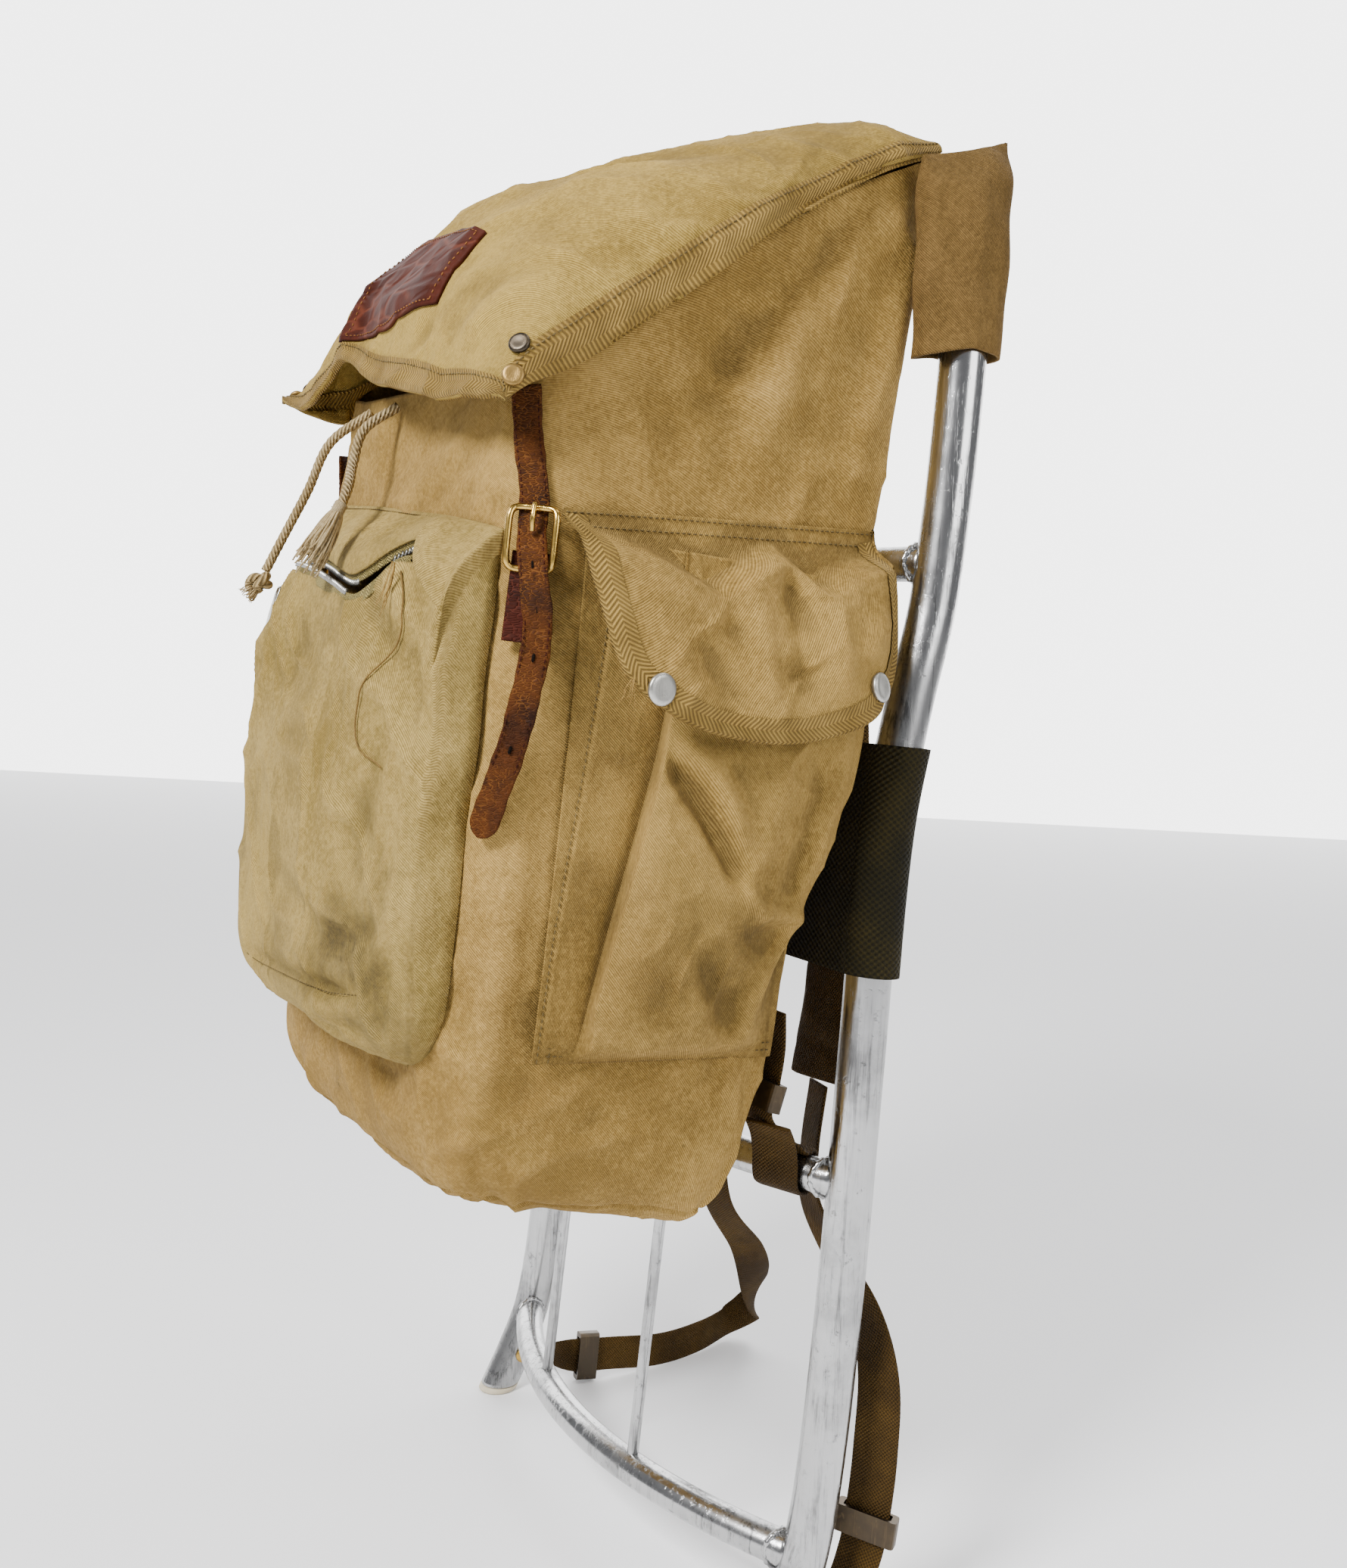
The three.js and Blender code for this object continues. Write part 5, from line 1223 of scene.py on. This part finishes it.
# Side pockets: y of the lines of the cloth over z, and how far pocket and flap stand out from the bag over z
PLACKET = np.array([(325, -187), (388, -186), (471, -180), (510, -177), (600, -172)], float)
PLEAT = np.array([(325, -170), (388, -160), (442, -150), (489, -142), (600, -132)], float)
CREASE = np.array([
    (325, -88), (338, -85), (374, -78), (404, -61), (439, -47), (474, -33), (516, -25), (600, -22)], float)
REAR = np.array([(325, -52), (380, -53), (404, -52), (439, -40), (474, -26), (516, -18), (600, -15)], float)
POCKET_OUT = np.array([
    (330, 20), (338, 25), (380, 31), (450, 33), (500, 27), (530, 19), (574, 9), (610, 6)], float)
FLAP_OUT = np.array([(480, 34), (500, 33), (520, 31), (550, 26), (574, 20), (612, 12)], float)
POCKET_FOLDS = [
    ((0, -152, 497), (0, -136, 473), 5, -8.0), ((0, -136, 473), (0, -121, 446), 5, -11.0),
    ((0, -121, 446), (0, -107, 424), 5, -9.0), ((0, -134, 486), (0, -110, 446), 7, 6.5),
    ((0, -108, 424), (0, -92, 409), 5, 5.0), ((0, -92, 409), (0, -60, 406), 5, 6.0),
    ((0, -100, 396), (0, -66, 394), 8, -5.5), ((0, -84, 480), (0, -98, 432), 9, 3.0),
    ((0, -140, 430), (0, -152, 360), 12, 3.0), ((0, -125, 388), (0, -95, 352), 9, -4.0),
    ((0, -60, 404), (0, -78, 374), 5, 4.0), ((0, -78, 374), (0, -85, 338), 5, 4.0),
    ((0, -58, 480), (0, -70, 425), 8, -4.5), ((0, -135, 395), (0, -110, 345), 9, 3.0),
    ((0, -45, 470), (0, -62, 416), 5, 3.0), ((0, -98, 372), (0, -90, 350), 8, -3.0)]
# The flap's free edge, and the line where it turns down, in y, z
FLAP_EDGE = np.array([
    (-203, 588), (-202, 576), (-197, 553), (-190, 530), (-179, 513), (-159, 501), (-133, 494), (-97, 493),
    (-61, 501), (-34, 515), (-19, 538), (-15, 560), (-17, 582), (-24, 604)], float)
FLAP_TURN = np.array([
    (-205, 586), (-191, 582), (-164, 577), (-137, 568), (-128, 567), (-111, 579), (-91, 588), (-78, 583),
    (-66, 576), (-51, 584), (-35, 592), (-14, 598)], float)
FLAP_FOLDS = [
    ((0, -128, 562), (0, -124, 540), 9, -3.0), ((0, -88, 580), (0, -86, 552), 8, -8.0),
    ((0, -86, 530), (0, -84, 524), 8, -5.0), ((0, -112, 556), (0, -104, 511), 8, 4.5),
    ((0, -28, 565), (0, -46, 543), 8, 4.0), ((0, -168, 548), (0, -152, 515), 13, 4.0),
    ((0, -66, 566), (0, -60, 525), 9, 4.5), ((0, -180, 570), (0, -140, 552), 9, 3.0),
    ((0, -142, 532), (0, -126, 508), 8, -3.0), ((0, -98, 540), (0, -92, 534), 6, 3.0)]
# Places of the snaps in y, z, and of the rivets in the lid's u, v
SNAPS = dict(front=(-167.0, 511.0), back=(-36.0, 526.0))
RIVETS = dict(upper=(0.845, 0.84), lower=(0.93, 0.905))
# A cap's profile: share of its radius, share of its height
CAP_ROWS = ((0.02, 0.9), (0.35, 0.93), (0.62, 1), (0.84, 0.96), (0.96, 0.74), (1.0, 0.45), (0.97, 0.15))


def pocket_surface(y, z):
    """The pleated pocket over the bag's side: a sunken gusset, a pleat that laps over it, and a full front.
    Gives x, y and z; the pleat's lap carries y forward."""
    tables = PLACKET, PLEAT, CREASE, REAR, POCKET_OUT
    front, pleat, crease, rear, full = (read_table(rows, z) for rows in tables)
    gusset = 1.6 + 3.0 * ramp(y, front + 4, pleat)
    share = np.clip((y - pleat) / (crease - pleat), 0, 1)
    body = full * (0.62 + 0.4 * np.sin(np.pi * share**0.8)) * ramp(-y, -rear, -crease - 1)
    step = ramp(y, pleat - 1.6, pleat + 1.6)
    spot = np.stack([np.zeros_like(y), y, z], -1)
    inner = ramp(y, pleat + 1, pleat + 9) * ramp(-y, -rear, -crease - 3)
    uneven = folds(spot, POCKET_FOLDS) + waves(spot, 40, 31) * 1.2 + crumple(spot, 46, 33) * 1.8
    height = gusset + (body - gusset) * step + uneven * inner
    close = ramp(z, 328.5, 342) ** 0.6 * ramp(-y, -rear, -rear + 3) * ramp(y, front - 1, front + 2)
    lap = 7 * step * np.exp(-(((y - pleat) / 13) ** 2)) * ramp(z, 334, 360)
    return np.stack([bag_side(y, z) + 0.9 + np.maximum(height, 0.4) * close, y - lap, z], -1)


def flap_top(y):
    """Height of the flap's sewn upper edge, which rises towards the back."""
    return 591 + (y + 200) * 0.105


def flap_height(y, z):
    """Height of the flap over the bag's side: sewn down along the top, then out over the pocket."""
    share = np.clip((y + 113) / 99, -1, 1)
    body = 5.6 + read_table(FLAP_OUT, z) * (0.5 + 0.5 * (1 - np.abs(share) ** 6).clip(0, 1) ** 0.5)
    spot = np.stack([np.zeros_like(y), y, z], -1)
    inner = ramp(-np.abs(share), -0.99, -0.75)
    uneven = folds(spot, FLAP_FOLDS) + waves(spot, 40, 41) * 1.2 + crumple(spot, 44, 43) * 1.7
    turn = read_table(FLAP_TURN, y) - z
    flat = 3.0 * ramp(flap_top(y) + 1 - z, 2, 26)
    return 2.2 + flat + (body - 3.0) * ramp(turn, -5, 10) + uneven * inner * ramp(turn, -3, 8)


def flap_point(side, yz, lift=0.0):
    """The flap's points on one side of the bag over y, z, lifted off its cloth."""
    y, z = yz[..., 0], yz[..., 1]
    return np.concatenate([(bag_side(y, z) + flap_height(y, z) + lift)[..., None], yz], -1) * (side, 1, 1)


def outward(first, second, side):
    """The normal of two steps on a cloth, turned to the bag's outer side."""
    normal = unit(np.cross(first, second))
    return normal if normal[0] * side > 0 else -normal


def add_cap(name, at, normal, radius, height, paint, nodes):
    """A pressed metal cap: a profile of radius and height turned round its axis."""
    side = unit(np.cross(normal, (0, 0.3, 1.0)))
    other = np.cross(normal, side)
    a = np.linspace(0, TAU, 49)[:-1, None]
    rows = [(r, h * height) for r, h in CAP_ROWS] + [(0.9, -0.6), (0.02, -0.6)]
    grid = [at + normal * h + (np.cos(a) * side + np.sin(a) * other) * r * radius for r, h in rows]
    piece(name, np.array(grid), paint, nodes)


def add_flap(word, side):
    """A flap: straight lines from its sewn top to its curved edge, with a tape bound over that edge."""
    out = (side, 0, 0)
    knots = lengths(FLAP_EDGE)
    s = np.linspace(0, 1, 200)
    edge = column(s * knots[-1], knots, FLAP_EDGE)
    y = -203 + 179 * (0.5 - 0.5 * np.cos(np.pi * s))
    top = np.stack([y, flap_top(y)], -1)
    spot = top + (edge - top) * np.linspace(0, 1, 100)[:, None, None]
    flap = piece(f"flap_cloth_{word}", flap_point(side, spot), GRIMY_CANVAS, [f"side_flap_{word}"],
                 wrap=False, out=out, wall=CLOTH)
    tangent = unit(np.gradient(edge, axis=0))
    inward = np.stack([-tangent[:, 1], tangent[:, 0]], -1)
    if ((np.array([-110, 550]) - edge) * inward).sum() < 0:
        inward = -inward
    share = np.concatenate([np.linspace(11, 0.4, 10), [-0.9, -0.9], np.linspace(0.4, 11, 10)])
    lift = np.concatenate([np.full(10, 0.9), [0.3, -2.0], np.full(10, -2.7)])
    tape = flap_point(side, edge[:, None] + inward[:, None] * share[None, :, None], lift)
    binding = piece(f"flap_binding_{word}", tape, TAPE, wrap=False)
    rows = [flap_point(side, top - (0, drop), 0.3) for drop in (2.0, 8.5)]
    ticks = add_stitches(f"flap_stitches_{word}", rows, out, THREAD)


def add_side_pockets():
    """On each side the pocket's cloth, the flap over it, their stitches, a frayed corner and two snaps."""
    for word, side in SIDES.items():
        out, mirror = (side, 0, 0), (side, 1, 1)
        z = np.linspace(328, 580, 160)
        pleat, rear = read_table(PLEAT, z)[:, None], read_table(REAR, z)[:, None]
        y = np.concatenate([pleat - 2 + (-188 - pleat) * np.linspace(1, 0, 60)[:-1],
                            pleat + np.linspace(-2, 2, 22),
                            pleat + 2 + (rear + 1 - pleat) * np.linspace(0, 1, 130)[1:]], 1)
        grid = pocket_surface(y, np.broadcast_to(z[:, None], y.shape)) * mirror
        piece(f"side_pocket_cloth_{word}", grid, GRIMY_CANVAS, [f"side_pocket_{word}"],
              wrap=False, out=out, wall=1.2)
        add_flap(word, side)
        front, base = read_table(PLACKET, z), np.linspace(-184, -52, 60)
        rows = [np.stack([bag_side(front + d, z) + 1.6, front + d, z], -1) * mirror for d in (-1.0, 5.0)]
        rows += [np.stack([bag_side(base, h) + 1.8, base, np.full(60, h)], -1) * mirror
                 for h in (332.0, 336.0)]
        add_stitches(f"pocket_stitches_{word}", rows, out, THREAD)
        corner = flap_point(side, np.array([-180.0, 514.0]), 0.5)
        tuft(f"flap_fray_{word}", corner, corner + np.array([side * 3.0, -5, -13]), 1.0, 4.0, 6, 0.22, 14,
             paint=PALE_THREAD)
        for name, place in SNAPS.items():
            at = flap_point(side, np.array(place), 0.2)
            steps = [flap_point(side, np.array(place) + step) - at for step in ((2, 0), (0, 2))]
            add_cap(f"snap_cap_{name}_{word}", at, outward(*steps, side), 7.8, 2.8, NICKEL,
                    [f"snap_{name}_{word}"])


add_side_pockets()


def add_rivets():
    """The two rivets at each corner of the lid; the lower one stands on the strap's end."""
    finish = dict(upper=("blackened", BLACKENED, 0), lower=("brass", DULL_BRASS, 1.3))
    step = 4e-3
    for word, side in SIDES.items():
        for place, (u, v) in RIVETS.items():
            slot, paint, stand = finish[place]
            at, along, down = (lid_surface(np.array(side * u + a), np.array(v + b))
                               for a, b in ((0, 0), (step, 0), (0, step)))
            normal = outward(along - at, down - at, side)
            add_cap(f"rivet_{place}_{word}", at + normal * stand, normal, 5.2, 2.2, paint,
                    [f"lid_rivet_{place}_{word}"])


add_rivets()

# Sleeves over the rail tops: height, half width and half depth
SLEEVE_ROWS = np.array([
    (708, 16.4, 19), (760, 16.4, 20), (788, 16, 20.5), (799, 9, 21), (806, 3.0, 21.5)], float)


def add_sleeves():
    """Sleeves: a squarish section round each rail that flattens to a closed top, drawn in to the bag."""
    for word, side in SIDES.items():
        z = np.concatenate([np.linspace(708, 785, 60), np.linspace(785, 806, 40)[1:]])
        z, a = np.meshgrid(z, np.arange(120) / 120 * TAU, indexing="ij")
        wide, deep = read_table(SLEEVE_ROWS, z)
        x, y = wide * spow(np.cos(a), 2 / 3), deep * spow(np.sin(a), 2 / 3)
        near = ramp(-y, 4, 20)
        grid = np.stack([side * (169 - 5 * near) + x * (1 - 0.3 * near), rail_y(z) + y - 9 * near,
                         z + ramp(z, 760, 806) * (8 + (y / 21) * 10) - 6 * near * ramp(-z, -740, -708)], -1)
        wave = waves(grid, 40, 51) * 1.8 + np.sin(y / 4 + 1) * 0.8 * ramp(z, 780, 800)
        grid = grid + np.stack([np.cos(a), np.sin(a), 0 * a], -1) * wave[..., None]
        piece(f"sleeve_{word}", grid, SLEEVE_CANVAS, [f"rail_sleeve_{word}"], wall=1.6, caps=False)


add_sleeves()

# Webbing: ties, back band and shoulder straps; a web's route has its points and its width's directions
WEB_ROUTES = {
    "right": ([(118.1, 11.9, 302.6), (119, 10, 264), (122, 13, 234), (138, 27, 202), (160, 32, 178),
               (173, 33, 150), (174.5, 35, 112), (174.5, 35, 84), (173.5, 33, 54), (174, 22, 33),
               (172, 2.1, 29)],
              [(.9, -.25, .12), (.9, -.25, .1), (.85, -.2, .3), (.75, -.1, .55), (.7, .1, .6), (.85, .4, .3),
               (.8, .6, .05), (.8, .6, 0), (.85, .5, 0), (.95, .2, 0), (1, 0, 0)]),
    "left": (np.concatenate([[(-45.5, 52.4, 240.6)], upright(np.array([
        (-50, 80, 170), (-74, 126, 116), (-110, 160, 70), (-144, 182, 34), (-160, 172, 16.5), (-152, 140, 13),
        (-147, 100, 13), (-150, 58, 17.2), (-154, 32, 19.2), (-162, 14, 22), (-168, 4.5, 29)], float))]),
        [(1, .2, 0), (.95, .3, .1), (.8, .3, .5), (.55, 0, .8), (.35, -.25, .9), (.1, -.05, 1),
         (0, 0, 1), (0, 0, 1), (0, 0, 1), (0, 0, 1), (.6, 0, .8), (1, 0, .2)]),
}
PAD_ROUTES = {
    "right": [(72, 7, 604), (76, 12, 570), (86, 23, 520), (96, 22, 475), (106, 19, 415), (113, 20, 370),
              (118, 12, 304)],
    "left": [(-72, 7, 604), (-74, 12, 570), (-76, 24, 520), (-72, 30, 450), (-60, 40, 340),
             (-45.7, 52.2, 241.6)],
}
BAND_OUT, BAND_LOW, BAND_HIGH = 16.6, 376.0, 498.0
TIE_X, TIE_RADIUS = 136.0, 12.4
PAD_ROWS, PAD_SIDES = 140, 56
# Height and distance from the bag of the ties' hanging part; steps back and up from the bar of their free end
TIE_HANG = np.array([(350, 1.5), (330, 5.8), (311, 7.5), (292, 9.5)], float)
TIE_TAIL = np.array([(12.2, -3), (14.5, 8), (19.5, 19), (27, 28)], float)


def swell(pad, rows, cols, cap=0.004, pressure=4.0):
    """Blows a pad up by a short cloth run under pressure, its ends held; no point moves more than cap."""
    data = pad.data
    run = bpy.data.objects.new("pad_run", data.copy())
    bpy.context.scene.collection.objects.link(run)
    held = run.vertex_groups.new(name="held")
    held.add(list(range(6 * cols)) + list(range((rows - 6) * cols, rows * cols)), 1.0, "REPLACE")
    cloth = run.modifiers.new("cloth", "CLOTH")
    cloth.settings.use_pressure, cloth.settings.uniform_pressure_force = True, pressure
    cloth.settings.vertex_group_mass = "held"
    cloth.settings.effector_weights.gravity = 0
    cloth.collision_settings.use_collision = False
    scene = bpy.context.scene
    first = scene.frame_current
    for step in range(1, 21):
        scene.frame_set(step)
    done = run.evaluated_get(bpy.context.evaluated_depsgraph_get()).data
    before, after = np.empty(len(data.vertices) * 3), np.empty(len(data.vertices) * 3)
    data.vertices.foreach_get("co", before)
    done.vertices.foreach_get("co", after)
    move = (after - before).reshape(-1, 3)
    size = np.linalg.norm(move, axis=1, keepdims=True)
    move = move * np.minimum(1, cap / np.maximum(size, 1e-9))
    data.vertices.foreach_set("co", before + move.ravel())
    data.update()
    scene.frame_set(first)
    spare = run.data
    bpy.data.objects.remove(run)
    bpy.data.meshes.remove(spare)
    smooth = pad.modifiers.new("smooth", "SUBSURF")
    smooth.levels = smooth.render_levels = 1


def add_shoulder_straps():
    """Each shoulder strap: flat webbing along its route, and a padded top with a rounded section."""
    for word in SIDES:
        points, across = WEB_ROUTES[word]
        path = route(points, 300, across)
        piece(f"web_{word}", swept(path[:, :3], path[:, 3:], slab(25, 2.2, 36, 14)), WEBBING,
              [f"shoulder_web_{word}"])
        a = np.arange(PAD_SIDES) / PAD_SIDES * TAU
        section = np.stack([spow(np.cos(a), 0.7) * 26, spow(np.sin(a), 0.8) * 3.6], -1)
        grid = swept(route(PAD_ROUTES[word], PAD_ROWS), (1, 0, 0), section)
        pad = piece(f"pad_{word}", grid, WEBBING, [f"shoulder_pad_{word}"])
        swell(pad, PAD_ROWS, PAD_SIDES)


def add_band():
    """The back band: half circles round the rails and two runs between them that sag in, over its width."""
    a = np.linspace(-np.pi / 2, np.pi / 2, 40)
    arc = np.stack([RAIL_X + BAND_OUT * np.cos(a), BAND_OUT * np.sin(a)], -1)
    flat = np.linspace((RAIL_X, BAND_OUT), (-RAIL_X, BAND_OUT), 120)[1:-1]
    x, y = np.concatenate([arc, flat, -arc, -flat]).T
    z = np.linspace(BAND_LOW, BAND_HIGH, 60)[:, None]
    sag = 1 - (np.clip(np.abs(x), 0, RAIL_X) / RAIL_X) ** 2
    inwards = np.where(y > 0, -2.0, 2.0) + waves(np.stack([x, y, 0 * x], -1), 70, 61)
    grid = np.stack(np.broadcast_arrays(x, y + rail_y(z) + inwards * sag, z), -1)
    piece("band_webbing", grid, BAND, ["back_band"], wall=2.4, caps=False)


def add_ties():
    """Webbing ties: from the bag's back down round the lower crossbar, the free end doubled up in front."""
    z, bow = BARS["lower"]
    up = np.array([0, 0, 1.0])
    for word, side in SIDES.items():
        x = side * TIE_X
        across = unit(np.array([1, 2 * bow * x / RAIL_X**2, 0]))
        away = np.array([-across[1], across[0], 0])
        centre = np.array([x, bar_y("lower", x), z])
        turn = np.pi * 0.62 - np.linspace(0, 1, 6)[:, None] * 4.3
        hook = centre + away * TIE_RADIUS * np.cos(turn) + up * TIE_RADIUS * np.sin(turn)
        level, stand = TIE_HANG.T
        hang = np.stack([np.full(4, x), bag_back(x, level) + stand, level], -1)
        tail = centre - np.outer(TIE_TAIL[:, 0], away) + np.outer(TIE_TAIL[:, 1], up)
        path = route(np.concatenate([hang, hook, tail]), 160, np.repeat([(1, 0, 0), across], (4, 10), axis=0))
        piece(f"tie_{word}", swept(path[:, :3], path[:, 3:], slab(28, 2.2, 36, 14)), WEBBING,
              [f"tie_strap_{word}"])


def dress_nodes():
    """The strap slides and tie buckles keep the part's shape, with rounded edges and a blackened finish."""
    for kind in ("web_slide", "tie_buckle"):
        for word in SIDES:
            node = frame["nodes"][f"{kind}_{word}"]
            node.data.materials.clear()
            node.data.materials.append(BLACKENED)
            bevel = node.modifiers.new("edges", "BEVEL")
            bevel.width, bevel.segments, bevel.limit_method = 0.0006, 2, "ANGLE"


add_shoulder_straps()
add_band()
add_ties()
dress_nodes()


# Light and floor; each lamp has its place, size and power
LAMPS = [
    ("key", (0.55, -1.55, 1.75), 0.55, 78), ("fill", (1.7, 0.5, 1.25), 1.0, 19),
    ("top", (0.1, 0.6, 2.3), 1.0, 18)]
FLOOR_Z = -0.0004
BACKDROP_AT, BACKDROP_AIM = (-4.6, 2.8, 2.6), (-3.75, 2.28, 2.6)


def aimed(at, target=(0, 0, 0.42)):
    """A matrix at a place whose Z axis looks away from the target."""
    aim = unit(np.array(at, float) - np.array(target, float))
    side = unit(np.cross((0, 0, 1.0), aim))
    matrix = np.eye(4)
    matrix[:3, :3] = np.stack([side, np.cross(aim, side), aim], 1)
    matrix[:3, 3] = at
    return Matrix(matrix.tolist())


def plane(name, size, material):
    """A flat stage piece round the origin."""
    data = bpy.data.meshes.new(name)
    x, y = size[0] / 2, size[1] / 2
    data.from_pydata([(-x, -y, 0), (x, -y, 0), (x, y, 0), (-x, y, 0)], [], [(0, 1, 2, 3)])
    data.materials.append(material)
    obj = bpy.data.objects.new(name, data)
    bpy.context.scene.collection.objects.link(obj)
    return obj


def add_studio():
    """A pale floor, a white wall behind, a dim sky and three soft lamps."""
    pale, *_ = start("pale_floor", Base_Color=(0.92, 0.92, 0.93, 1), Roughness=0.85)
    plane("floor", (30, 30), pale).location = (0, 0, FLOOR_Z)
    white, *_ = start("white_wall", Base_Color=(0, 0, 0, 1), Emission_Color=(1, 1, 1, 1),
                      Emission_Strength=4.5)
    plane("backdrop", (16, 9), white).matrix_world = aimed(BACKDROP_AT, BACKDROP_AIM)
    sky = bpy.data.worlds.new("studio")
    sky.use_nodes = True
    light = sky.node_tree.nodes["Background"].inputs
    light["Color"].default_value, light["Strength"].default_value = (0.95, 0.96, 1.0, 1), 0.25
    bpy.context.scene.world = sky
    for name, at, size, power in LAMPS:
        data = bpy.data.lights.new(name, "AREA")
        data.size, data.energy = size, power
        lamp = bpy.data.objects.new(name, data)
        bpy.context.scene.collection.objects.link(lamp)
        lamp.matrix_world = aimed(at)


add_studio()
